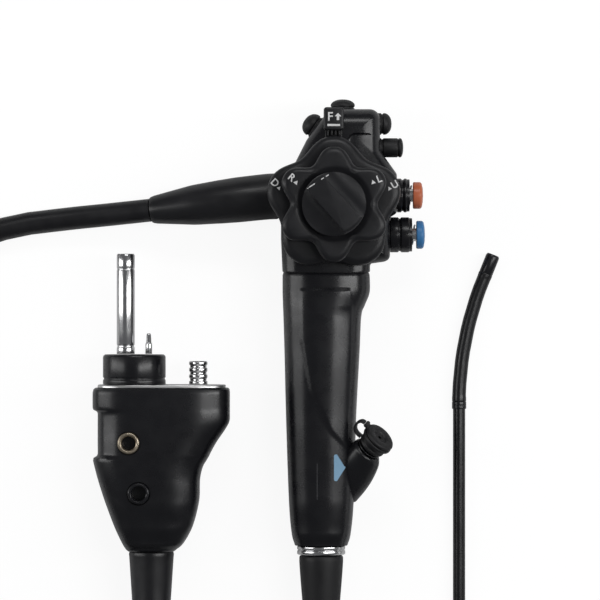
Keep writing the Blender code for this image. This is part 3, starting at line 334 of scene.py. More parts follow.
# %% Solid through rings
def drawn_through(name, rings, hollow=False):
    """A solid through rings of equal length; a hollow one is open from its first ring to its last."""
    only()
    bpy.ops.mesh.primitive_circle_add(vertices=len(rings[0]), fill_type="NGON")
    piece = named(bpy.context.object, name)
    put_last(piece, rings[0])
    for before, ring in zip(rings, rings[1:]):
        edit("VERT")
        bpy.ops.mesh.extrude_region_move(TRANSFORM_OT_translate={"value": (ring[0] - before[0]) * MM})
        bpy.ops.object.mode_set(mode="OBJECT")
        put_last(piece, ring)
    if hollow:
        only(piece)
        for part in (*piece.data.vertices, *piece.data.edges):
            part.select = False
        for face in piece.data.polygons:
            face.select = len(face.vertices) == len(rings[0])
        edit()
        bpy.ops.mesh.delete(type="ONLY_FACE")
        bpy.ops.mesh.select_mode(type="EDGE")
        bpy.ops.mesh.select_all(action="DESELECT")
        bpy.ops.mesh.select_non_manifold()
        bpy.ops.mesh.bridge_edge_loops()
    return outward(piece)


# %% Lathe and drill
X_AXIS = Vector((1, 0, 0))
Y_AXIS = Vector((0, 1, 0))
Z_AXIS = Vector((0, 0, 1))


def standing(place, along):
    """The matrix that puts a piece on a place and turns its Z axis along a direction."""
    facing = Z_AXIS.rotation_difference(Vector(along)).to_matrix().to_4x4()
    return Matrix.Translation(Vector(place) * MM) @ facing


def lathe(name, section, place=(0, 0, 0), along=Z_AXIS, sides=64, hollow=False):
    """Spins half a section of (radius, height) points; a solid one starts and ends on the axis."""
    only()
    bpy.ops.mesh.primitive_circle_add(vertices=len(section), fill_type="NOTHING")
    piece = named(bpy.context.object, name)
    put_last(piece, [Vector((radius, 0, height)) for radius, height in section])
    last = len(section) - 1
    for vert in piece.data.vertices:
        vert.select = vert.index in (0, last)
    for edge in piece.data.edges:
        edge.select = set(edge.vertices) == {0, last}
    edit("EDGE")
    if not hollow:
        bpy.ops.mesh.delete(type="EDGE")
    bpy.ops.mesh.select_all(action="SELECT")
    bpy.ops.mesh.spin(steps=sides, angle=2 * math.pi, center=(0, 0, 0), axis=(0, 0, 1))
    outward(piece)
    piece.data.transform(standing(place, along))
    return piece


def bore(piece, radius, start, end, sides=48):
    """Cuts a round hole between two points."""
    start = Vector(start)
    end = Vector(end)
    only()
    bpy.ops.mesh.primitive_cylinder_add(vertices=sides, radius=radius * MM, depth=(end - start).length * MM)
    drill = bpy.context.object
    drill.data.transform(standing((start + end) / 2, end - start))
    return combine(piece, drill)


# %% Finishing tools
def finished(piece, paint, body="root", stands_for=()):
    """Gives the piece its finish and its body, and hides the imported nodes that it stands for."""
    piece.data.materials.clear()
    piece.data.materials.append(paint)
    if body:
        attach(piece, body)
    if stands_for:
        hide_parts(*stands_for)
    print(piece.name, "in", paint.name)
    return piece


def turned(name, section, place, along, paint, stands_for=(), body="root", sides=72, hollow=False,
           edge=(0.12, 2, 30)):
    """A turned piece with its edges rounded by (width, segments, sharpest angle left alone)."""
    return finished(soften(lathe(name, section, place, along, sides, hollow), *edge), paint, body, stands_for)


# %% Lines and rings
def eased(points, step):
    """Points on a smooth curve through the given ones, about one step apart."""
    points = [Vector(p) for p in points]
    ends = [2 * points[0] - points[1], *points, 2 * points[-1] - points[-2]]
    line = []
    for before, start, end, after in zip(ends, ends[1:], ends[2:], ends[3:]):
        pull = (end - before) / 2
        push = (after - start) / 2
        count = max(1, round((end - start).length / step))
        for t in (i / count for i in range(count)):
            line.append(start + pull * t + (3 * (end - start) - 2 * pull - push) * t ** 2
                        + (2 * (start - end) + pull + push) * t ** 3)
    return [*line, points[-1]]


def direction(line, i):
    """The direction of a line at one of its points."""
    return (line[min(i + 1, len(line) - 1)] - line[max(i - 1, 0)]).normalized()


def softly(t):
    """Eases a share between 0 and 1 at both ends."""
    return t * t * (3 - 2 * t)


def oval(centre, across, above, wide, high, count, power=2, shift=0):
    """A ring round a centre with half sizes wide and high, squarish where the power is above 2."""
    ring = []
    for k in range(count):
        angle = 2 * math.pi * (k + shift) / count
        c = math.cos(angle)
        s = math.sin(angle)
        ring.append(centre + across * math.copysign(abs(c) ** (2 / power), c) * wide
                    + above * math.copysign(abs(s) ** (2 / power), s) * high)
    return ring


def quarter(steps):
    """The angles of a quarter turn."""
    return [math.pi / 2 * i / steps for i in range(steps + 1)]


def crowned(radius, top, wide, high, steps):
    """The rounded edge of a half section, from its side to its top."""
    return [(radius - wide * (1 - math.cos(a)), top - high * (1 - math.sin(a))) for a in quarter(steps)]


# %% [markdown]
# ## The two flexible tubes
# The universal cord leaves the head on the left and ends in the light-guide connector. Its spare
# length lies in a flat coil below the picture, wound turn on turn. The insertion tube leaves the
# grip at the bottom, is wound once more, and comes back up on the right. Each is one curve with a
# round section, because a curve keeps its length and its thickness exactly.

# %% Routes
CORD_DIAMETER = 11.0
CORD_NEAR = [(-87.7, -1.9, 12.9), (-110, -4.2, 9), (-134, -6.7, 6.3), (-158.7, -10.8, 5.7), (-186, -23, 5.7),
             (-205, -48, 5.7), (-211, -85, 5.7), (-211, -170, 5.7), (-211, -252.6, 5.7)]
CORD_COIL = {"centre": (-149, -290), "radius": 62, "turns": 2.5, "low": 5.7, "rise": 11.3}
CORD_FAR = [(-87, -252.9, 30), (-87, -234, 25.2), (-87, -215.5, 22.4), (-87, -190, 19.6), (-87, -166, 19)]
TUBE_DIAMETER = 5.9
TUBE_NEAR = [(-5.8, -240.5, 18), (-5.9, -255, 19.8), (-5.9, -269.2, 22.8)]
TUBE_COIL = {"centre": (27.4, -290), "radius": 33.3, "turns": 3.5, "low": 24, "rise": -6}
TUBE_FAR = [(60.7, -269.2, 3.1), (60.7, -200, 3), (60.7, -150, 3), (60.7, -97.2, 3.45)]


def wound(coil, per_turn=48):
    """A coil from its left side, anticlockwise seen from above."""
    line = []
    for i in range(round(coil["turns"] * per_turn) + 1):
        turns = i / per_turn
        angle = math.pi + 2 * math.pi * turns
        x = coil["centre"][0] + coil["radius"] * math.cos(angle)
        y = coil["centre"][1] + coil["radius"] * math.sin(angle)
        line.append(Vector((x, y, coil["low"] + coil["rise"] * turns)))
    return line


def round_curve(name, points, diameter):
    """A curve of one open spline with a round section."""
    data = bpy.data.curves.new(name, "CURVE")
    data.dimensions = "3D"
    data.bevel_depth = diameter / 2 * MM
    data.bevel_resolution = 7
    data.use_fill_caps = True
    spline = data.splines.new("POLY")
    spline.points.add(len(points) - 1)
    for place, point in zip(spline.points, points):
        place.co = (*(Vector(point) * MM), 1)
    curve = bpy.data.objects.new(name, data)
    bpy.context.scene.collection.objects.link(curve)
    return curve


# %% Cords
cord_line = [*eased(CORD_NEAR, 12), *wound(CORD_COIL), *eased(CORD_FAR, 10)]
tube_line = [*eased(TUBE_NEAR, 6), *wound(TUBE_COIL), *eased(TUBE_FAR, 12)]
universal_cord = finished(round_curve("universal_cord", cord_line, CORD_DIAMETER), CORD_RUBBER, "root",
                          ["universal_cord_near", "universal_cord_coil", "universal_cord_far"])
insertion_tube = finished(round_curve("insertion_tube", tube_line, TUBE_DIAMETER), TUBE_COATING, "root",
                          ["insertion_tube_near", "insertion_tube_coil", "insertion_tube_far"])

# %% [markdown]
# ## Head housing
# The head is a moulded shell in two halves, with a soft rounded front edge and a seam just above
# the back. Its outline has steps for the switches and the two valves, so it is drawn as corners,
# each with its own rounding, and the same outline is moved inwards to round the front edge.

# %% Head outline
FIT = 0.3                    # between pieces that sit on, in or round each other
CORNER_STEPS = 8
SHARPEST = 0.2               # smallest radius of a corner that is moved inwards
HEAD_LEFT = -24.3            # the head's sides at the seam, which the grip goes on with
HEAD_RIGHT = 17.4
SEAM_Y = -31.9
HEAD_CORNERS = [(HEAD_LEFT, SEAM_Y, 1), (HEAD_RIGHT, SEAM_Y, 1), (HEAD_RIGHT, -27.6, 1.5), (26.9, -26.2, 3),
                (26.9, -5.5, 1.5), (30.2, -3.5, 1.5), (30.2, 15, 3), (22.2, 26.2, 4), (22.2, 45.9, 5),
                (-2, 45.9, 4.5), (-12.8, 31.2, 6), (-18.8, 19.3, 5), (-25, 16.5, 3.5), (-25, -16, 10)]


def outline(corners, height, inset=0.0):
    """The ring of an anticlockwise list of (x, y, radius) corners, moved inwards and rounded."""
    points = [Vector(corner[:2]) for corner in corners]
    ring = []
    for i, point in enumerate(points):
        before = (point - points[i - 1]).normalized()
        after = (points[(i + 1) % len(points)] - point).normalized()
        n1 = Vector((before.y, -before.x))
        n2 = Vector((after.y, -after.x))
        middle = (n1 + n2).normalized()
        turn = math.atan2(n1.cross(n2), n1.dot(n2))
        side = 1 if turn > 0 else -1
        radius = max(corners[i][2] - inset, SHARPEST) if turn > 0 else corners[i][2]
        centre = point - middle * (inset + side * radius) / middle.dot(n1)
        start = math.atan2(n1.y, n1.x)
        for step in range(CORNER_STEPS + 1):
            angle = start + turn * step / CORNER_STEPS
            spot = centre + Vector((math.cos(angle), math.sin(angle))) * side * radius
            ring.append(Vector((spot.x, spot.y, height)))
    return ring


def rounded_over(corners, low, high, edge, low_edge=0.0, flats=8):
    """Rings from low to high whose top edge is a quarter round, and whose bottom edge may be."""
    rings = [outline(corners, low)]
    if low_edge:
        rings = [outline(corners, low - height, -inset)
                 for inset, height in crowned(0, 0, low_edge, low_edge, flats)[::-1]]
    return rings + [outline(corners, height, -inset) for inset, height in crowned(0, high, edge, edge, flats)]


def square_at_seam(rings, inset=0.0):
    """Keeps the head's rings straight where the grip goes on: no edge is rounded there."""
    seam = outline(HEAD_CORNERS, 0.0, inset)[:2 * (CORNER_STEPS + 1)]
    for ring in rings:
        for point, straight in zip(ring, seam):
            point.y = straight.y
    return rings


# %% Places on the head
HEAD_DEPTH = 38
COVER_DEPTH = 8
HEAD_WALL = 2.2
HEAD_EDGE = 8.5
RIM = COVER_DEPTH + FIT
CEILING = HEAD_DEPTH - HEAD_WALL
UD_SHAFT_RADIUS = 5.8
SIDE_Z = 20                  # height of the switches and the valves
BARREL_RADIUS = 6.4
BARREL_INNER_X = 14.5
SUCTION_Y = 5
WATER_Y = -13.8
CORD_EXIT = Vector((-25.3, 4.5, 19))
CORD_NECK = 7.0
SWITCHES = [(-8.2, 37.4, 143.7, 5.6, 6.8), (4.5, 45.9, 90, 5.8, 5.2), (22.2, 39.2, 0, 5.2, 5.8),
            (22.2, 27.8, 0, 4.6, 11.4)]          # x, y, heading, radius, height
TONGUE = (-18.8, SEAM_Y - 3, 7.2, SEAM_Y + 5.2)  # slot for the tongue of the frame plate
HOLLOW = [(6.6, 12, 3), (42, 12, 1), (42, 34.3, 1), (6.6, 34.3, 4)]


def rectangle(left, front, right, back, radius):
    """Corners of a rectangle, each with the same rounding."""
    return [(left, front, radius), (right, front, radius), (right, back, radius), (left, back, radius)]


def heading_of(degrees):
    """A level direction."""
    return Vector((math.cos(math.radians(degrees)), math.sin(math.radians(degrees)), 0))


# %% Head housing
lining = [outline(HEAD_CORNERS, height, inset) for height, inset in (
    (CEILING, HEAD_WALL + HEAD_EDGE / 2), (CEILING - HEAD_EDGE / 2, HEAD_WALL), (RIM, HEAD_WALL))]
shell = rounded_over(HEAD_CORNERS, RIM, HEAD_DEPTH, HEAD_EDGE)
housing = drawn_through("housing_front", square_at_seam(lining, HEAD_WALL) + square_at_seam(shell))
combine(housing, drawn_through("slot_tool", [outline(rectangle(*TONGUE, 1), z) for z in (8, 27)]))
bore(housing, UD_SHAFT_RADIUS + FIT, (0, 0, CEILING - 4), (0, 0, HEAD_DEPTH + 2))
for x, y, heading, radius, height in SWITCHES:
    place = Vector((x, y, SIDE_Z))
    bore(housing, radius + FIT, place - heading_of(heading) * 4, place + heading_of(heading) * 3)
for y in (SUCTION_Y, WATER_Y):
    bore(housing, BARREL_RADIUS + FIT, (BARREL_INNER_X, y, SIDE_Z), (34, y, SIDE_Z))
bore(housing, CORD_NECK + FIT, CORD_EXIT + X_AXIS * 6, CORD_EXIT - X_AXIS * 3)
combine(housing, drawn_through("hollow_tool", rounded_over(HOLLOW, HEAD_DEPTH - 1.3, HEAD_DEPTH + 4, FIT, 1.2)))
finished(smooth(housing, 32), HOUSING_BLACK, stands_for=["head_housing"])

# %% Back cover
cover = drawn_through("housing_back", square_at_seam(rounded_over(HEAD_CORNERS, 0, COVER_DEPTH, 0.3, low_edge=3.5)))
finished(smooth(cover, 32), HOUSING_BLACK, stands_for=["head_back_cover"])

# %% [markdown]
# ## Angulation knobs
# Two moulded knobs sit one above the other and bend the tip: the lower, larger one up and down, the
# upper one right and left. A thumb turns them by their lobes, so each lobe is as round as a petal
# and the valleys are soft. One formula gives both outlines, and the solid is drawn up through them.

# %% Knobs
LEVER_THICKNESS = 2
KNOB_THICKNESS = 10
UD_KNOB_Z = HEAD_DEPTH + LEVER_THICKNESS + 2 * FIT
RL_KNOB_Z = UD_KNOB_Z + KNOB_THICKNESS + FIT
LOCK_Z = RL_KNOB_Z + KNOB_THICKNESS + FIT
RL_SHAFT_RADIUS = 4
LOCK_RADIUS = 15
SKIRT = 2.4                  # wall round the hollow underside
UNDERSIDE = 5.2              # its depth
HUB = 3.6                    # wall round the bore


def star(lobes, radius, valley, height, inset=0.0, steps=40):
    """A ring with round lobes and hollow valleys, its first lobe on +Y."""
    ring = []
    for i in range(lobes * steps):
        angle = 2 * math.pi * i / (lobes * steps)
        reach = radius - inset - valley * (0.5 - 0.5 * math.cos(lobes * angle)) ** 1.25
        ring.append(Vector((-reach * math.sin(angle), reach * math.cos(angle), height)))
    return ring


def star_knob(name, lobes, radius, valley, low, shaft_radius, crown, body):
    """A knob with domed lobes, a dished middle and a hollow underside."""
    high = low + KNOB_THICKNESS
    under = low + UNDERSIDE
    hub = [(shaft_radius + FIT + HUB, low), (shaft_radius + FIT + HUB, under)]
    skirt = [(under, SKIRT + 2.2), (under - 1.2, SKIRT + 0.2), (low, SKIRT)]
    foot = [(low + 1 - math.sin(a), 1 - math.cos(a)) for a in reversed(quarter(8))]
    dome = [(high - crown * 0.75 * (1 - math.sin(a)), crown * (1 - math.cos(a)) ** 1.1) for a in quarter(8)]
    dish = [(LOCK_RADIUS + 3.4, high), (LOCK_RADIUS + 2, high - 0.2), (LOCK_RADIUS + 0.9, high - 1),
            (LOCK_RADIUS - 2, high - 1)]
    rings = [star(lobes, reach, 0, height) for reach, height in hub]
    rings += [star(lobes, radius, valley, height, inset) for height, inset in skirt + foot + dome]
    rings += [star(lobes, reach, 0, height) for reach, height in dish]
    knob = drawn_through(name, rings)
    bore(knob, shaft_radius + FIT, (0, 0, low - 2), (0, 0, high + 2))
    return finished(smooth(knob, 40), KNOB_BLACK, body, [name.replace("wheel", "knob")])


ud_wheel = star_knob("ud_wheel", 5, 32.4, 5.8, UD_KNOB_Z, UD_SHAFT_RADIUS, 4.2, "ud_control")
rl_wheel = star_knob("rl_wheel", 6, 27.2, 6.6, RL_KNOB_Z, RL_SHAFT_RADIUS, 3.6, "rl_control")

# %% [markdown]
# ## Lock knob
# The top knob locks the right and left wheel. It is a disc with one finger ridge across it, left
# standing between two scooped hollows. The scoops are cut with two round bars, as a mill would.

# %% Lock knob
LOCK_TOP = LOCK_Z + 9.5
LOCK_EDGE = 2.2
RIDGE_HALF = 4.65
SCOOP_RADIUS = 10
ridge_along = heading_of(-48)
ridge_across = Z_AXIS.cross(ridge_along)
disc_section = [(0, LOCK_Z + 3.5), (4, LOCK_Z + 3.5), (4.3, LOCK_Z), (LOCK_RADIUS - 0.6, LOCK_Z),
                (LOCK_RADIUS, LOCK_Z + 0.6), *crowned(LOCK_RADIUS, LOCK_TOP, LOCK_EDGE, LOCK_EDGE, 6),
                (0, LOCK_TOP)]
lock_cap = lathe("lock_cap", disc_section, sides=128)
for side in (-1, 1):
    middle = ridge_across * side * (RIDGE_HALF + SCOOP_RADIUS * 0.95) + Z_AXIS * (LOCK_TOP + 4)
    bore(lock_cap, SCOOP_RADIUS, middle - ridge_along * 30, middle + ridge_along * 30, sides=96)
finished(soften(lock_cap, 0.7, 4, 25), KNOB_BLACK, "rl_lock", ["rl_lock_knob"])

# %% [markdown]
# ## Up and down lock lever
# A flat lever turns on the same axis, under both wheels. Its end is bent up into a tab that carries
# the sign for a free knob, a plain F with an arrow. Four small ribs stop a thumb from slipping.

# %% Lever
LEVER_Z = HEAD_DEPTH + FIT
LEVER_TOP = LEVER_Z + LEVER_THICKNESS
LEVER_HUB = 9.5
TAB_TOP = LEVER_Z + 8.5
TAB_NEAR_Y = 35.2
TAB_FAR_Y = 46.2
TAB_HALF = 4.75
ARM_HALF = 4


def block(name, corners, low, high, edge, low_edge=0.0):
    """A block with rounded corners and edges."""
    return drawn_through(name, rounded_over(corners, low, high, edge, low_edge, flats=4))


hub_section = [(0, LEVER_Z), (LEVER_HUB - 0.2, LEVER_Z), (LEVER_HUB, LEVER_Z + 0.2), (LEVER_HUB, LEVER_TOP - 0.4),
               (LEVER_HUB - 0.4, LEVER_TOP), (0, LEVER_TOP)]
lever = lathe("lever", hub_section)
arm = block("arm", rectangle(-ARM_HALF, 0.3, ARM_HALF, TAB_FAR_Y - 1, 1), LEVER_Z + 0.05, LEVER_TOP - 0.05, 0.3)
tab = block("tab", rectangle(-TAB_HALF, TAB_NEAR_Y, TAB_HALF, TAB_FAR_Y, 1.4), LEVER_Z + 0.02, TAB_TOP, 1, 0.3)
ribs = [block("rib", rectangle(x - 0.4, 32.9, x + 0.4, TAB_NEAR_Y + 0.5, 0.2), LEVER_Z + 1, TAB_TOP - 1.4, 0.2)
        for x in (-2.7, -0.9, 0.9, 2.7)]
combine(lever, arm, tab, *ribs, operation="UNION")
bore(lever, UD_SHAFT_RADIUS + FIT, (0, 0, LEVER_Z - 1), (0, 0, LEVER_Z + 4))
finished(smooth(lever, 32), KNOB_BLACK, "ud_lock", ["ud_lock_lever"])

# %% [markdown]
# ## Printed signs
# Each wheel says which way it bends the tip: R and L on the upper one, U and D on the lower, with a
# small triangle. They are pad printed, so they follow the plastic that they are printed on: every
# sign is cut fine and laid down on the surface under it.

# %% Printing tools
PRINT_DEPTH = 0.1
ABOVE_ALL = 200


def letter(text, size):
    """One letter as a flat mesh, centred."""
    only()
    bpy.ops.object.text_add()
    sign = bpy.context.object.data
    sign.body = text
    sign.size = size * MM
    sign.align_x = "CENTER"
    sign.align_y = "CENTER"
    sign.offset = sign.size * 0.018
    bpy.ops.object.convert(target="MESH")
    return bpy.context.object


def flat_shape(corners):
    """A flat filled outline."""
    only()
    bpy.ops.mesh.primitive_circle_add(vertices=len(corners), fill_type="NGON")
    put_last(bpy.context.object, [Vector((x, y, 0)) for x, y in corners])
    return bpy.context.object


def triangle(size):
    return flat_shape([(-size * 0.5, -size * 0.42), (size * 0.5, -size * 0.42), (0, size * 0.46)])


def bar(width, height):
    return flat_shape([corner[:2] for corner in rectangle(-width / 2, -height / 2, width / 2, height / 2, 0)])


def fused(pieces):
    """Makes several pieces one mesh."""
    only(pieces[0])
    for piece in pieces:
        piece.select_set(True)
    if len(pieces) > 1:
        bpy.ops.object.join()
    return bpy.context.object


def printed(name, parts, place, turn, onto, body, paint=MARK_WHITE):
    """Puts flat parts side by side as (piece, x, y), turns them, and lays them on a surface."""
    for piece, x, y in parts:
        piece.data.transform(Matrix.Translation(Vector((x, y, 0)) * MM))
    sign = named(fused([piece for piece, x, y in parts]), name)
    edit()
    bpy.ops.mesh.select_all(action="SELECT")
    bpy.ops.mesh.remove_doubles(threshold=MERGE / 2 * MM)
    bpy.ops.mesh.quads_convert_to_tris()
    bpy.ops.mesh.subdivide(number_cuts=2)
    bpy.ops.mesh.normals_make_consistent(inside=False)
    bpy.ops.object.mode_set(mode="OBJECT")
    sign.data.transform(Matrix.Translation(Vector((*place, 0)) * MM) @ Matrix.Rotation(math.radians(turn), 4, "Z"))
    for vert in sign.data.vertices:
        spot = onto.ray_cast(Vector((vert.co.x, vert.co.y, ABOVE_ALL * MM)), -Z_AXIS)[1]
        vert.co.z = spot.z + PRINT_DEPTH / 2 * MM
    if sum(face.normal.z for face in sign.data.polygons) < 0:
        sign.data.flip_normals()
    return finished(apply(sign, "SOLIDIFY", thickness=PRINT_DEPTH * MM, offset=-1), paint, body)


# %% Signs
SIGN_SIZE = 4.8
SIGNS = [("right", "R", (-18.7, 11.4), -40, -1, 2.2, rl_wheel), ("left", "L", (19.7, 11.2), 20, 1, 2.2, rl_wheel),
         ("down", "D", (-26.7, 9.1), -44, -1, 1.9, ud_wheel), ("up", "U", (27.4, 8.6), 30, 1, 1.9, ud_wheel)]
for name, text, place, turn, side, tip_size, onto in SIGNS:
    printed("sign_" + name, [(letter(text, SIGN_SIZE), side * 1.6, 0), (triangle(tip_size), -side * 1.5, -0.2)],
            place, turn, onto, onto.name.replace("wheel", "control"))

arrow = flat_shape([(-0.6, -1.6), (0.6, -1.6), (0.6, 0.2), (1.6, 0.2), (0, 1.8), (-1.6, 0.2), (-0.6, 0.2)])
printed("sign_free", [(letter("F", 5.8), -1.7, 0.8), (arrow, 2, 0.9), (bar(6, 1), 0, -3)],
        (0, (TAB_NEAR_Y + TAB_FAR_Y) / 2), 0, lever, "ud_lock")
# Two short white bars are laid across the lock cap near its rim.
STROKES_TURN = 33
strokes_place = (Matrix.Rotation(math.radians(STROKES_TURN), 3, "Z") @ Y_AXIS * 12.8)[:2]
printed("sign_index", [(bar(4.2, 0.44), -4.5, 0), (bar(4.2, 0.44), 3.2, 0)], strokes_place, STROKES_TURN, lock_cap,
        "rl_lock")

# %% [markdown]
# ## Remote switches
# Four switches for the picture sit round the top of the head. Each is a soft rubber cap turned about
# its own axis, with a groove where it leaves the wall and a domed end that a finger finds blind.

# %% Switches
INSIDE = -HEAD_WALL - 0.6
LONG_SWITCH = 10             # a switch taller than this has a second groove

for i, (x, y, heading, radius, height) in enumerate(SWITCHES):
    section = [(0, INSIDE - 1), (radius + 0.5, INSIDE - 1), (radius + 0.5, INSIDE), (radius, INSIDE), (radius, 0.6),
               (radius - 0.5, 0.8), (radius - 0.5, 1.4), (radius, 1.7)]
    dome = height - 2.2
    if height > LONG_SWITCH:
        section += [(radius, 8.4), (radius - 0.4, 8.6), (radius - 0.4, 8.9), (radius, 9.1)]
        dome = 1.4
    section += crowned(radius, height - 0.2, radius * 0.9, dome, 12)
    section += [(radius * 0.05, height - 0.18), (0, height - 0.15)]
    turned(f"button_{i + 1}", section, (x, y, SIDE_Z), heading_of(heading), SOFT_RUBBER, [f"switch_{i + 1}"],
           f"switch_body_{i + 1}", edge=(0.15, 2, 35))

# %% [markdown]
# ## Suction and air/water valves
# Two sprung pistons stand in cylinders on the right wall. A collar round each mouth guards the cap,
# which sinks into it when it is pressed. The caps are coloured so that a hand never mixes them up.

# %% Valves
PISTON_RADIUS = 3.1
SPRING_RADIUS = 4.5
SHELF_X = 29                 # where the spring stands
VALVE_TRAVEL = 3.5
COLLAR_WALL = 1.4


def valve_cylinder(name, node, y, wall_x, rim_x, cap_radius):
    """The sleeve in the wall, with its collar, a waist and a recess for the pressed cap."""
    mouth = cap_radius + FIT
    collar = mouth + COLLAR_WALL
    hole = PISTON_RADIUS + FIT
    face = wall_x + FIT
    waist = face + (rim_x - face) * 0.42
    section = [(hole, BARREL_INNER_X), (BARREL_RADIUS, BARREL_INNER_X), (BARREL_RADIUS, face), (collar, face),
               (collar, waist - 0.7), (collar - 0.6, waist - 0.2), (collar - 0.6, waist + 0.4),
               (collar, waist + 0.9), (collar, rim_x - 1.6), (collar - 0.4, rim_x - 1.3),
               (collar - 0.4, rim_x), (mouth, rim_x), (mouth, SHELF_X + VALVE_TRAVEL),
               (SPRING_RADIUS * 1.25, SHELF_X), (hole, SHELF_X)]
    turned(name, section, (0, y, SIDE_Z), X_AXIS, HOUSING_BLACK, [node], sides=96, hollow=True, edge=(0.18, 3, 35))


def valve_cap(name, node, y, under_x, top_x, radius, paint, body):
    """A mushroom cap: a socket for the piston, a hollowed underside and a softly crowned face."""
    rim = 1.3
    hole = PISTON_RADIUS + FIT
    section = [(0, top_x - 1.5), (hole, top_x - 1.5), (hole, under_x + 1), (radius - 1.2, under_x + 0.2),
               (radius - 0.4, under_x), (radius, under_x + 0.4), *crowned(radius, top_x - 0.5, rim * 1.3, rim, 6),
               (radius * 0.55, top_x - 0.2), (radius * 0.25, top_x - 0.1), (0, top_x)]
    turned(name, section, (0, y, SIDE_Z), X_AXIS, paint, [node], body, sides=96, edge=(0.15, 2, 35))


SUCTION_UNDER_X = 38
WATER_UNDER_X = 39.6
valve_cylinder("suction_sleeve", "suction_cylinder", SUCTION_Y, 30.2, 36.4, 6.4)
valve_cylinder("water_sleeve", "air_water_cylinder", WATER_Y, 26.9, 37.6, 6.7)
valve_cap("suction_button", "suction_cap", SUCTION_Y, SUCTION_UNDER_X, 42.9, 6.4, SUCTION_ORANGE, "suction_valve")
valve_cap("water_button", "air_water_cap", WATER_Y, WATER_UNDER_X, 43.8, 6.7, WATER_BLUE, "air_water_valve")

# %% [markdown]
# ## Valve springs
# Each cap stands on a spring of round wire. A wound wire is a curve with a round section, turned
# into a mesh here.

# %% Valve springs
WIRE = 0.8                   # thickness of the wire
SPRING_X = SHELF_X + 0.8
SPRING_STEPS = 160
STEPS_PER_TURN = 40


for name, y, under_x in (("suction", SUCTION_Y, SUCTION_UNDER_X), ("air_water", WATER_Y, WATER_UNDER_X)):
    length = under_x - WIRE / 2 - FIT - SPRING_X
    turns = []
    for i in range(SPRING_STEPS + 1):
        out = heading_of(360 * i / STEPS_PER_TURN) * SPRING_RADIUS
        turns.append((SPRING_X + length * i / SPRING_STEPS, y + out.x, SIDE_Z + out.y))
    wire = only(round_curve(name.removeprefix("air_") + "_coil", turns, WIRE))
    bpy.ops.object.convert(target="MESH")
    finished(outward(wire), SIDE_STEEL, stands_for=[name + "_spring"])
    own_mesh(wire)

# %% [markdown]
# ## Grip
# The hand closes round an oval moulding that is deepest under the thumb and tapers to the tube. A
# slightly raised panel runs down its front and ends in a slanted crease. The oval is drawn through
# closely spaced rings, and the panel is then lifted out of them by its distance from the outline.

# %% Grip shell
AXIS_Z = 18                  # height of the middle of the grip
GRIP_AXIS_X = -5.8
GRIP_WALL = 2
GRIP_POWER = 2.7
SEAM_TOP = SEAM_Y - FIT
GRIP_STATIONS = [(0, HEAD_LEFT, HEAD_RIGHT, 36), (9, HEAD_LEFT, HEAD_RIGHT, 36), (15, -24.1, 15.2, 36),
                 (20.5, -23.9, 13.4, 35.8), (37, -23.4, 12.6, 35.4), (70, -22.6, 10.9, 34.6),
                 (108, -21.3, 9.8, 33.4), (124, -20, 8.4, 31.4), (130, -18.4, 6.8, 28)]  # below, left, right, depth
PANEL = [(-16, -40), (8, -40), (9, -48), (8.8, -100), (7.9, -117), (-1.6, -107), (-10.8, -88), (-15.5, -64)]
PANEL_LIFT = 0.5
PANEL_SLOPE = 1.1


def body_oval(left, right, depth, y, inset=0.0, power=GRIP_POWER, count=160):
    """A squarish oval across the y axis, moved inwards."""
    return oval(Vector(((left + right) / 2, y, AXIS_Z)), X_AXIS, Z_AXIS, (right - left) / 2 - inset,
                depth / 2 - inset, count, power)


def between_stations(stations, step):
    """More stations along the same smooth line, as (below, left, right, depth)."""
    sides = eased([(left, right, below) for below, left, right, depth in stations], step)
    depths = [(below, depth) for below, left, right, depth in stations]
    rows = []
    for left, right, below in sides:
        (b0, d0), (b1, d1) = next(((p, q) for p, q in zip(depths, depths[1:]) if below <= q[0]), depths[-2:])
        share = softly(min(max((below - b0) / (b1 - b0), 0), 1))
        rows.append((below, left, right, d0 + (d1 - d0) * share))
    return rows


def depth_inside(point, corners):
    """How far a point lies inside an outline of (x, y) corners; negative outside."""
    nearest = math.inf
    inside = False
    for (x0, y0), (x1, y1) in zip(corners, [*corners[1:], corners[0]]):
        edge = Vector((x1 - x0, y1 - y0))
        gap = Vector((point.x - x0, point.y - y0))
        share = min(max(gap.dot(edge) / edge.length_squared, 0), 1)
        nearest = min(nearest, (gap - edge * share).length)
        if (y0 > point.y) != (y1 > point.y) and point.x < x0 + (point.y - y0) / (y1 - y0) * (x1 - x0):
            inside = not inside
    return nearest if inside else -nearest


grip_rows = between_stations(GRIP_STATIONS, 0.9)
outer_rings = [body_oval(left, right, depth, SEAM_TOP - below, 0 if i else FIT)
               for i, (below, left, right, depth) in enumerate(grip_rows)]
inner_rings = [body_oval(left, right, depth, SEAM_TOP - below, GRIP_WALL)
               for below, left, right, depth in reversed([*grip_rows[::12], grip_rows[-1]])]
grip = drawn_through("grip_moulding", outer_rings + inner_rings, hollow=True)
for vert in grip.data.vertices:
    place = vert.co / MM
    if place.z > AXIS_Z + 13:
        share = min(max(depth_inside(place, PANEL) / PANEL_SLOPE + 0.5, 0), 1)
        vert.co.z += PANEL_LIFT * softly(share) * MM
PORT_CENTRE = Vector((22.1, -110.2, 35))
PORT_FLAT = heading_of(45)
PORT_LEAN = math.radians(29)
PORT_ALONG = PORT_FLAT * math.cos(PORT_LEAN) + Z_AXIS * math.sin(PORT_LEAN)
PORT_RADIUS = 6.2
bore(grip, PORT_RADIUS + FIT, PORT_CENTRE - PORT_ALONG * 40, PORT_CENTRE - PORT_ALONG * 6)
finished(smooth(grip, 35), HOUSING_BLACK, stands_for=["grip_shell"])

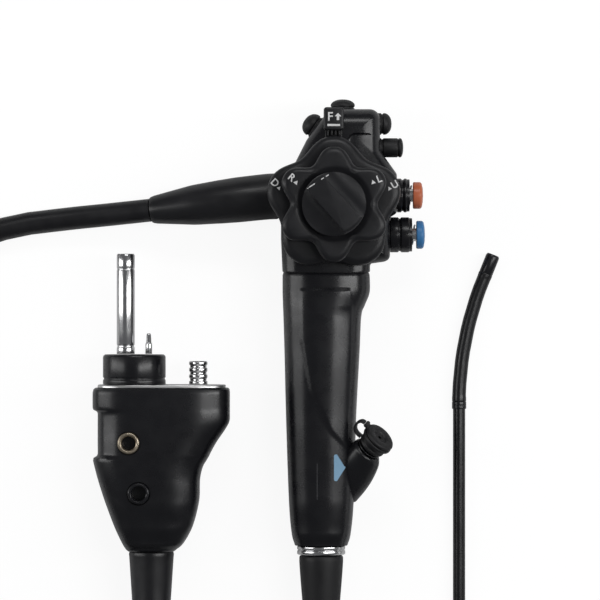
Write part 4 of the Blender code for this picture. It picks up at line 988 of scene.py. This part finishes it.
gasket_rings = [body_oval(HEAD_LEFT, HEAD_RIGHT, 36, y, inset)
                for y, inset in ((SEAM_Y - 0.03, 2.9), (SEAM_Y - 0.03, 0.4), (SEAM_TOP + 0.03, 0.4),
                                 (SEAM_TOP + 0.03, 2.9))]
finished(drawn_through("seam_gasket", gasket_rings, hollow=True), DEEP_BLACK)

# %% [markdown]
# ## End of the grip and its boot
# A turned metal ring closes the grip. The rubber boot below it keeps the tube from kinking: thick
# where it leaves the ring, thin at its end, with a rolled lip at either end.

# %% Grip end ring and insertion tube boot
GRIP_END_Y = SEAM_TOP - 130
END_RADIUS = 11.5
END_LENGTH = 4.5
CHANNEL_HOLE = 2.3
ROOT_RADIUS = 10.5
BOOT_LENGTH = 73
BOOT_END_RADIUS = TUBE_DIAMETER / 2 + 1.3
waist = END_RADIUS - 0.4
ring_section = [(CHANNEL_HOLE, -6), (9.9, -6), (9.9, 0.3), (waist, 0.3), (END_RADIUS, 0.7), (END_RADIUS, 1.9),
                (waist, 2.1), (waist, 2.5), (END_RADIUS, 2.7), (END_RADIUS, 4.1), (waist, END_LENGTH),
                (CHANNEL_HOLE, END_LENGTH)]
turned("end_ring", ring_section, (GRIP_AXIS_X, GRIP_END_Y, AXIS_Z), -Y_AXIS, BRIGHT_STEEL, ["grip_end_ring"],
       sides=96, hollow=True, edge=(0.12, 2, 25))

taper = [(ROOT_RADIUS + (BOOT_END_RADIUS - ROOT_RADIUS) * t ** 1.15, 3 + (BOOT_LENGTH - 5) * t)
         for t in (i / 24 for i in range(1, 25))]
boot_section = [(0, 0), (ROOT_RADIUS - 1, 0), (ROOT_RADIUS - 0.3, 0.3), (ROOT_RADIUS, 1), (ROOT_RADIUS, 3), *taper,
                (BOOT_END_RADIUS - 0.3, BOOT_LENGTH - 0.6), (BOOT_END_RADIUS - 0.9, BOOT_LENGTH), (0, BOOT_LENGTH)]
turned("tube_boot", boot_section, (GRIP_AXIS_X, GRIP_END_Y - END_LENGTH - FIT, AXIS_Z), -Y_AXIS, SOFT_RUBBER,
       ["insertion_boot"], edge=(0.2, 2, 40))

# %% [markdown]
# ## Forceps port
# The instrument channel opens on a short branch that leans out of the grip. A rubber valve is pulled
# over its flange, and its lid hangs on a strap at one side, with a slit that closes on a wire.

# %% Forceps port
CAP_RADIUS = 8
CAP_HEIGHT = 6.4
LID_HALF = 0.9               # half its thickness
HINGE_REACH = 8.8
SLIT = 1.6
PORT_ASIDE = Z_AXIS.cross(PORT_FLAT)
PORT_ACROSS = PORT_ASIDE.cross(PORT_ALONG)
lid_under = -LID_HALF - FIT
cap_low = lid_under - CAP_HEIGHT
neck = [(4.8 + 1.4 * (0.5 + 0.5 * math.cos(math.pi * t)), cap_low - 7.2 + 4.4 * t) for t in (0.2, 0.4, 0.6, 0.8, 1)]
branch_section = [(SLIT, -30), (PORT_RADIUS, -30), (PORT_RADIUS, cap_low - 7.2), *neck, (4.8, cap_low - 1.3),
                  (6, cap_low - 1), (PORT_RADIUS, cap_low - 0.7), (6, cap_low - 0.3), (SLIT, cap_low - 0.3)]
turned("branch_pipe", branch_section, PORT_CENTRE, PORT_ALONG, HOUSING_BLACK, ["port_branch"], hollow=True,
       edge=(0.15, 2, 35))

waist = CAP_RADIUS * 0.86
valve_section = [(SLIT, cap_low), (5.2, cap_low), (waist - 0.4, cap_low + 0.8), (waist, cap_low + 1.4),
                 (waist, cap_low + 2.4), (waist - 0.5, cap_low + 2.8), (waist, cap_low + 3.2),
                 (waist, lid_under - 2.2), (CAP_RADIUS - 0.3, lid_under - 1.7), (CAP_RADIUS, lid_under - 1.3),
                 (CAP_RADIUS, lid_under - 0.4), (CAP_RADIUS - 0.4, lid_under), (SLIT, lid_under)]
turned("rubber_valve", valve_section, PORT_CENTRE, PORT_ALONG, SOFT_RUBBER, ["forceps_valve"], hollow=True,
       edge=(0.2, 3, 30))

rim = CAP_RADIUS - 0.3
lid_section = [(3, -0.1), (3.6, LID_HALF - 0.3), (4.2, LID_HALF), (rim - 1, LID_HALF), (rim - 0.3, LID_HALF * 0.5),
               (rim, 0), (rim, 0.3 - LID_HALF), (rim - 0.3, -LID_HALF), (1, -LID_HALF), (1, -0.1)]
hinge_section = [(0, -2.1), (0.8, -2.1), (1, -1.9), (1, 1.9), (0.8, 2.1), (0, 2.1)]
lid = lathe("lid", lid_section, sides=72, hollow=True)
combine(lid, block("strap", rectangle(-2, 5.8, 2, HINGE_REACH, 0.5), 0.05 - LID_HALF, LID_HALF / 3, 0.3),
        lathe("hinge_barrel", hinge_section, (0, HINGE_REACH, -0.03), X_AXIS, sides=24), operation="UNION")
facing = Matrix((PORT_ACROSS, PORT_ASIDE, PORT_ALONG)).transposed().to_4x4()
lid.data.transform(Matrix.Translation(PORT_CENTRE * MM) @ facing)
finished(soften(lid, 0.15, 2, 35), SOFT_RUBBER, "port_lid", ["valve_lid"])

# %% [markdown]
# ## Strap and shoulder of the port
# The strap that keeps the lid goes on behind its hinge, loops back and is moulded to the valve. The
# shoulder is the wide web between the branch and the grip: rings round the branch that grow towards
# one side, cut back to the grip's own surface.

# %% Strap loop and shoulder
STRAP_LOOP = [(9.95, -0.1), (11.5, -0.6), (12.4, -2.4), (12.2, -4.6), (10.8, -6.4), (9, -7), (6.6, -7)]
SHOULDER = [(9.2, 6, 6.2), (9.6, 6.6, 7), (10.4, 7, 7.9), (12.9, 7.2, 9.8), (20, 7.6, 12.2), (27, 7.8, 13.5),
            (34, 7.8, 14.1)]           # distance back along the branch, reach on the near and the far side
STRAP_POWER = 2 / 0.6
loop_line = eased([PORT_CENTRE + PORT_ASIDE * u + PORT_ALONG * w for u, w in STRAP_LOOP], 0.4)
loop_rings = []
for i, centre in enumerate(loop_line):
    thick = PORT_ACROSS.cross(direction(loop_line, i)).normalized()
    loop_rings.append(oval(centre, PORT_ACROSS, thick, 1.8, 0.6, 24, STRAP_POWER, 0.5))
finished(smooth(drawn_through("strap_loop", loop_rings), 50), SOFT_RUBBER)

outer_web = []
inner_web = []
for back, near, far in eased(SHOULDER, 0.8):
    centre = PORT_CENTRE - PORT_ALONG * back
    middle = centre - PORT_ASIDE * (far - near) / 2
    outer_web.append(oval(middle, PORT_ASIDE, PORT_ACROSS, (near + far) / 2, near, 96))
    inner_web.insert(0, oval(centre, PORT_ASIDE, PORT_ACROSS, PORT_RADIUS + 0.1, PORT_RADIUS + 0.1, 96))
shoulder = drawn_through("port_shoulder", outer_web + inner_web, hollow=True)
combine(shoulder, drawn_through("grip_solid", outer_rings[::3]))
finished(smooth(shoulder, 40), HOUSING_BLACK)

# %% [markdown]
# ## Cord boots
# Both ends of the universal cord leave through a tapered boot. Each is one tube whose radius eases
# from thick to thin along its route, drawn through rings that stand square to the route.

# %% Boots of the universal cord
def tapered(name, route, radii, neck=0.0, bore_radius=0.0, sides=64):
    """A boot along a route, from radius to radius, with a neck or a bore and rolled ends."""
    line = eased(route, 2.5)
    last = len(line) - 1
    rings = []
    bore_rings = []
    for i, centre in enumerate(line):
        along = direction(line, i)
        across = Z_AXIS.cross(along).normalized()
        above = along.cross(across)
        place = i / last * (len(radii) - 1)
        low = min(int(place), len(radii) - 2)
        size = radii[low] + (radii[low + 1] - radii[low]) * (place - low)
        steps = [(0, size)]
        if i == 0:
            steps = [(0, size - 0.8), (0.3, size - 0.2), (1, size)]
            if neck:
                steps = [(-3, neck), (0, neck), *steps]
        if i == last:
            steps = [(-1, size), (-0.2, size - 0.4), (0, size - 1)]
        rings += [oval(centre + along * forward, across, above, radius, radius, sides) for forward, radius in steps]
        bore_rings.insert(0, oval(centre, across, above, bore_radius, bore_radius, sides))
    if bore_radius:
        rings += bore_rings
    return smooth(drawn_through(name, rings, hollow=bore_radius > 0), 40)


cord_boot = tapered("cord_guard", [CORD_EXIT, (-31, 4.5, 19), (-54, 2, 18.1), (-87.4, -1.9, 13)],
                    (11, 10.8, 9.6, 6.4), neck=CORD_NECK)
finished(cord_boot, CORD_RUBBER, stands_for=["cord_boot"])
plug_boot = tapered("plug_guard", [(-87, -165.3, 19), (-87, -190, 19.6), (-87, -215, 22.3)], (10.8, 9.2, 6.4),
                    bore_radius=CORD_DIAMETER / 2 + 0.2)
finished(plug_boot, CORD_RUBBER, stands_for=["connector_boot"])

# %% [markdown]
# ## Light-guide connector
# The connector is a moulded shell, flat across its front, with a shoulder on its left and a slanted
# right side. It narrows to the cord. The steel plate on its front carries the insulating base with
# the light-guide rod and the air pin, and the ribbed air and water pipe.

# %% Connector shell
FRONT_Y = -87
PLUG_Z = 19                  # height of the middle of the connector
PLUG_POWER = 3.6
PLUG_DEPTH = 38
# Each station of the connector: distance below its front, left side, right side, depth
PLUG_STATIONS = [(0, -113.8, -50.3, 36.4), (0.6, -114.6, -49.7, 37.5), (2, -115, -49.5, 38),
                 (9.5, -115, -49.5, 38), (10.4, -114.6, -49.5, 38), (11.2, -113, -49.5, 38),
                 (12, -112.6, -49.5, 38), (16, -112.6, -49.7, 38), (20, -112.6, -51.8, 38),
                 (26, -112.6, -55.9, 38), (31.6, -112.6, -59, 38), (32.6, -113.2, -59.4, 38),
                 (33.4, -114.6, -59.9, 38), (34.6, -114.8, -60.6, 38), (38, -114, -62.5, 38),
                 (44, -112.4, -63.8, 37.8), (54, -109.2, -64.2, 37.2), (66, -104.7, -67.2, 35),
                 (74, -101, -71.5, 31), (77.2, -99, -75, 26.2), (78, -98, -76, 24)]
SOCKETS = [("vent_socket", "vent_ring", -97.3, -113, SOCKET_BRASS),
           ("black_socket", "suction_socket", -92.6, -136.9, HOUSING_BLACK)]
SOCKET_RADIUS = 5.3
SOCKET_BORE = 3.3
SOCKET_TOP = PLUG_Z + PLUG_DEPTH / 2 + 1


def plug_oval(left, right, depth, y, inset=0.0):
    ring = body_oval(left, right, depth, y, inset, PLUG_POWER, 144)
    return [point + Z_AXIS * (PLUG_Z - AXIS_Z) for point in ring]


rows = between_stations(PLUG_STATIONS, 1.2)
connector = drawn_through("connector_shell", [plug_oval(left, right, depth, FRONT_Y - below)
                                              for below, left, right, depth in rows])
for name, node, x, y, paint in SOCKETS:
    bore(connector, SOCKET_RADIUS + FIT, (x, y, SOCKET_TOP - 8.3), (x, y, 50), sides=64)
finished(smooth(connector, 28), HOUSING_BLACK, stands_for=["connector_housing"])

# %% Front plate, base, rod, pin and pipe
PLATE_Y = FRONT_Y + FIT
BASE_Y = PLATE_Y + 1.2 + FIT
BASE_HEIGHT = 14.2
ROD_Y = BASE_Y + BASE_HEIGHT + FIT
ROD_X = -99.3
PIPE_RADIUS = 4.4
PIPE_LENGTH = 11

plate_rings = [plug_oval(-112.6, -51.5, 34, PLATE_Y + ahead, inset)
               for ahead, inset in ((0, 0), (0.9, 0), (1.1, 0.1), (1.2, 0.4))]
finished(smooth(drawn_through("front_plate", plate_rings), 30), PLATE_STEEL, stands_for=["connector_plate"])

base_section = [(0, 0), (15, 0), (15, 2), (14.6, 2.3), (14.6, 3), (15, 3.3), (15, 13), (14.7, 13.7),
                (14, BASE_HEIGHT), (6.6, BASE_HEIGHT), (6.4, 13.8), (0, 13.8)]
rod_section = [(0, 0), (4.3, 0), (4.3, 3), (4, 3.2), (4, 4.2), (4.3, 4.4), (4.3, 40), (4.1, 40.2), (4.1, 40.8),
               (4.3, 41), (4.3, 47), (3.9, 47.8), (3.7, 47.8), (3.7, 41.8), (0, 41.8)]
glass_section = [(0, 0), (3.4, 0), (3.4, 2.1), (3, 2.6), (2, 2.9), (1, 3), (0, 3)]
pin_section = [(0, 0), (1.6, 0), (1.6, 4.8), (1.3, 5.2), (1.1, 9), (0.8, 9.7), (0, 9.8)]
rib = PIPE_LENGTH / 7
pipe_section = [(1.8, 0), (PIPE_RADIUS, 0)]
for start in (rib, rib * 3, rib * 5):
    pipe_section += [(PIPE_RADIUS, start - 0.2), (PIPE_RADIUS - 0.5, start),
                     (PIPE_RADIUS - 0.5, start + rib * 0.6), (PIPE_RADIUS, start + rib)]
pipe_section += [(PIPE_RADIUS, PIPE_LENGTH - 0.5), (PIPE_RADIUS - 0.5, PIPE_LENGTH), (2.1, PIPE_LENGTH),
                 (1.8, PIPE_LENGTH - 0.3)]
for name, node, section, x, y, paint, sides in (
        ("insulating_base", "light_guide_base", base_section, -95.2, BASE_Y, HOUSING_BLACK, 96),
        ("guide_rod", "light_guide_rod", rod_section, ROD_X, ROD_Y, BRIGHT_STEEL, 96),
        ("guide_lens", "light_guide_lens", glass_section, ROD_X, ROD_Y + 42.1, LENS_GLASS, 64),
        ("pin", "air_pin", pin_section, -88.3, ROD_Y, BRIGHT_STEEL, 48),
        ("ribbed_pipe", "water_pipe", pipe_section, -64.6, BASE_Y, BRIGHT_STEEL, 72)):
    turned(name, section, (x, y, PLUG_Z), Y_AXIS, paint, [node], sides=sides, hollow=name == "ribbed_pipe")

# %% Vent ring and suction socket
socket_section = [(SOCKET_BORE, -8), (SOCKET_RADIUS, -8), (SOCKET_RADIUS, -0.8), (SOCKET_RADIUS - 0.5, -0.1),
                  (SOCKET_RADIUS - 0.9, 0), (SOCKET_BORE + 0.6, 0), (SOCKET_BORE, -0.6)]
for name, node, x, y, paint in SOCKETS:
    turned(name, socket_section, (x, y, SOCKET_TOP), Z_AXIS, paint, [node], hollow=True)

# %% [markdown]
# ## Bending section
# The rubber sheath is made as twelve short skins, one over each hinge of the rings inside, and each
# curves smoothly over that hinge, as the real sheath does. The first and the last skin
# carry the thread binding that holds the rubber down. A black ring joins the section to the tube.

# %% Joint ring and skins
SHEATH_RADIUS = 3.3
SHEATH_BORE = 3
BIND_HEIGHT = 0.1
SKIN_PLACES = [0, 0.04, 0.09, 0.14, 0.22, 0.30, 0.40, 0.50]    # shares of a skin's length, up to its middle
BOUND = (0.04, 0.30)
JOINT_RADIUS = 3.45
JOINT_LENGTH = 3
JOINT_BORE = 2.2
TUBE_END_RADIUS = 3          # socket that the tube ends in
TUBE_END_DEPTH = 0.5
SHOULDER_AT = 2.8
BEND_START = Vector((60.7, -96.9, 3.45))
hinges = [Vector(joint["pos_m"]) / MM for joint in frame["joints"] if joint["name"].startswith("bend_")]

joint_section = [(JOINT_BORE, 0), (TUBE_END_RADIUS, 0), (TUBE_END_RADIUS, -TUBE_END_DEPTH),
                 (JOINT_RADIUS - 0.2, -TUBE_END_DEPTH), (JOINT_RADIUS, 0.2 - TUBE_END_DEPTH), (JOINT_RADIUS, 0.7),
                 (JOINT_RADIUS - 0.12, 0.8), (JOINT_RADIUS - 0.12, 1), (JOINT_RADIUS, 1.1),
                 (JOINT_RADIUS, JOINT_LENGTH - 0.2), (JOINT_RADIUS - 0.2, JOINT_LENGTH), (JOINT_BORE, JOINT_LENGTH)]
tube_joint = turned("tube_joint", joint_section, BEND_START, Y_AXIS, HOUSING_BLACK, sides=64, hollow=True,
                    edge=(0.05, 2, 30))

sheath_start = BEND_START + Y_AXIS * (JOINT_LENGTH + FIT * 0.2)
last_along = (hinges[-1] - hinges[-2]).normalized()
sheath_end = hinges[-1] + last_along * (SHOULDER_AT - FIT * 0.2)
middles = [sheath_start, *((a + b) / 2 for a, b in zip(hinges, hinges[1:])), sheath_end]


def skin_rings(start, hinge, end, bound_first, bound_last, sides=40):
    """Outer and inner rings of one skin, with its line rounded over the hinge."""
    into = (hinge - start).normalized()
    out = (end - hinge).normalized()
    low, high = BOUND
    outer = []
    inner = []
    for t in SKIN_PLACES + [1 - t for t in SKIN_PLACES[-2::-1]]:
        centre = start.lerp(hinge, t * 2) if t <= 0.5 else hinge.lerp(end, t * 2 - 1)
        along = into.lerp(out, softly(t)).normalized()
        side = along.cross(Z_AXIS).normalized()
        above = side.cross(along)
        raised = bound_first and low <= t <= high or bound_last and 1 - high <= t <= 1 - low
        radius = SHEATH_RADIUS + BIND_HEIGHT * raised
        outer.append(oval(centre, side, above, radius, radius, sides))
        inner.insert(0, oval(centre, side, above, SHEATH_BORE, SHEATH_BORE, sides))
    return outer + inner


for i, hinge in enumerate(hinges):
    rings = skin_rings(middles[i], hinge, middles[i + 1], i == 0, i == len(hinges) - 1)
    skin = smooth(drawn_through(f"sheath_{i + 1:02d}", rings, hollow=True), 50)
    finished(skin, BENDING_RUBBER, None, ["bending_sheath"])
    start, end = (tuple(hinge.lerp(middle, 0.8) * MM) for middle in middles[i:i + 2])
    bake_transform(skin)

# %% [markdown]
# ## Distal tip
# The tip is turned with a step that the sheath ends on and a rounded front. Its face holds the open
# channel, the lens and two light windows.

# %% Tip
TIP_RADIUS = 3.3
TIP_LENGTH = 12.5
WINDOWS = [(1.2, 0.9, 0.9), (1.1, -1.5, 0.42), (-0.3, 1.9, 0.42)]     # aside, above, radius
CHANNEL_MOUTH = (-1.2, 0, 1)
tip_section = [(0, SHOULDER_AT - 0.2), (JOINT_BORE, SHOULDER_AT - 0.2), (JOINT_BORE, 0.6), (2.7, 0.6),
               (2.7, SHOULDER_AT), (TIP_RADIUS - 0.1, SHOULDER_AT), (TIP_RADIUS, SHOULDER_AT + 0.2),
               (TIP_RADIUS, TIP_LENGTH - 1.2), (TIP_RADIUS - 0.15, TIP_LENGTH - 0.6),
               (TIP_RADIUS - 0.5, TIP_LENGTH - 0.1), (TIP_RADIUS - 0.8, TIP_LENGTH), (0, TIP_LENGTH)]
tip_cap = lathe("tip_cap", tip_section, hinges[-1], last_along)
face_side = last_along.cross(Z_AXIS).normalized()


def on_face(aside, above, ahead=0.0):
    """A place on the tip's face."""
    return hinges[-1] + last_along * (TIP_LENGTH + ahead) + face_side * aside + Z_AXIS * above


for aside, above, radius in WINDOWS:
    bore(tip_cap, radius + 0.04, on_face(aside, above, -0.3), on_face(aside, above, 1), sides=32)
aside, above, radius = CHANNEL_MOUTH
bore(tip_cap, radius, on_face(aside, above, -6), on_face(aside, above, 1), sides=40)
finished(soften(tip_cap, 0.06, 2, 40), HOUSING_BLACK, "tip", ["distal_tip"])

glass = []
for aside, above, radius in WINDOWS:
    section = [(0, -0.28), (radius, -0.28), (radius, -0.08), (radius * 0.7, -0.03), (radius * 0.35, 0), (0, 0)]
    glass.append(lathe("tip_window", section, on_face(aside, above), last_along, sides=32))
windows = fused(glass)
windows.name = "tip_windows"
finished(windows, LENS_GLASS, "tip")

# %% [markdown]
# ## Marks on the grip
# The grip carries no words. A plain pale pointer shows the way to the port, and a fine grey line
# stands beside it. Each is laid on the surface below it.

# %% Grip marks
def arcs(radius, centres, steps):
    """A flat shape with round corners, from the (x, y, start, sweep) of each, in degrees."""
    return flat_shape([(x + radius * out.x, y + radius * out.y) for x, y, start, sweep in centres
                       for out in (heading_of(start + sweep * i / steps) for i in range(steps + 1))])


grip_mark = arcs(1, [(-1.8, -5.4, 180, 116), (1.6, 0, -64, 128), (-1.8, 5.4, 64, 116)], 6)
grip_line = arcs(0.15, [(0, 8.45, 0, 180), (0, -8.45, 180, 180)], 4)
printed("grip_mark", [(grip_mark, 0, 0)], (3, -124.7), 0, grip, "root", MARK_BLUE)
printed("grip_line", [(grip_line, 0, 0)], (-7.8, -131.3), 0, grip, "root", MARK_GREY)

# %% [markdown]
# ## The universal cord inside its boot
# The universal cord runs on inside its boot up to the connector.

# %% [markdown]
# ## Parts that keep their imported shape
# The frame plate, the shafts, the pistons with their springs, the channel tube and the bending rings
# lie inside. They keep the shape of the frame and only get a better finish.

# %% Inner parts
INNER_FINISHES = {"frame_plate": PLATE_STEEL, "bending_ring": PLATE_STEEL, "joint_ring": HOUSING_BLACK,
                  "piston": SIDE_STEEL, "spring": SIDE_STEEL, "shaft": SIDE_STEEL, "spindle": SIDE_STEEL,
                  "channel": CHANNEL_PLASTIC}
for node in frame["nodes"]:
    for word, paint in INNER_FINISHES.items():
        if word in node:
            for slot in frame["nodes"][node].material_slots:
                slot.material = paint
shown = [name for name, piece in frame["nodes"].items() if not piece.hide_render]
print("packed parts that still show:", ", ".join(shown))
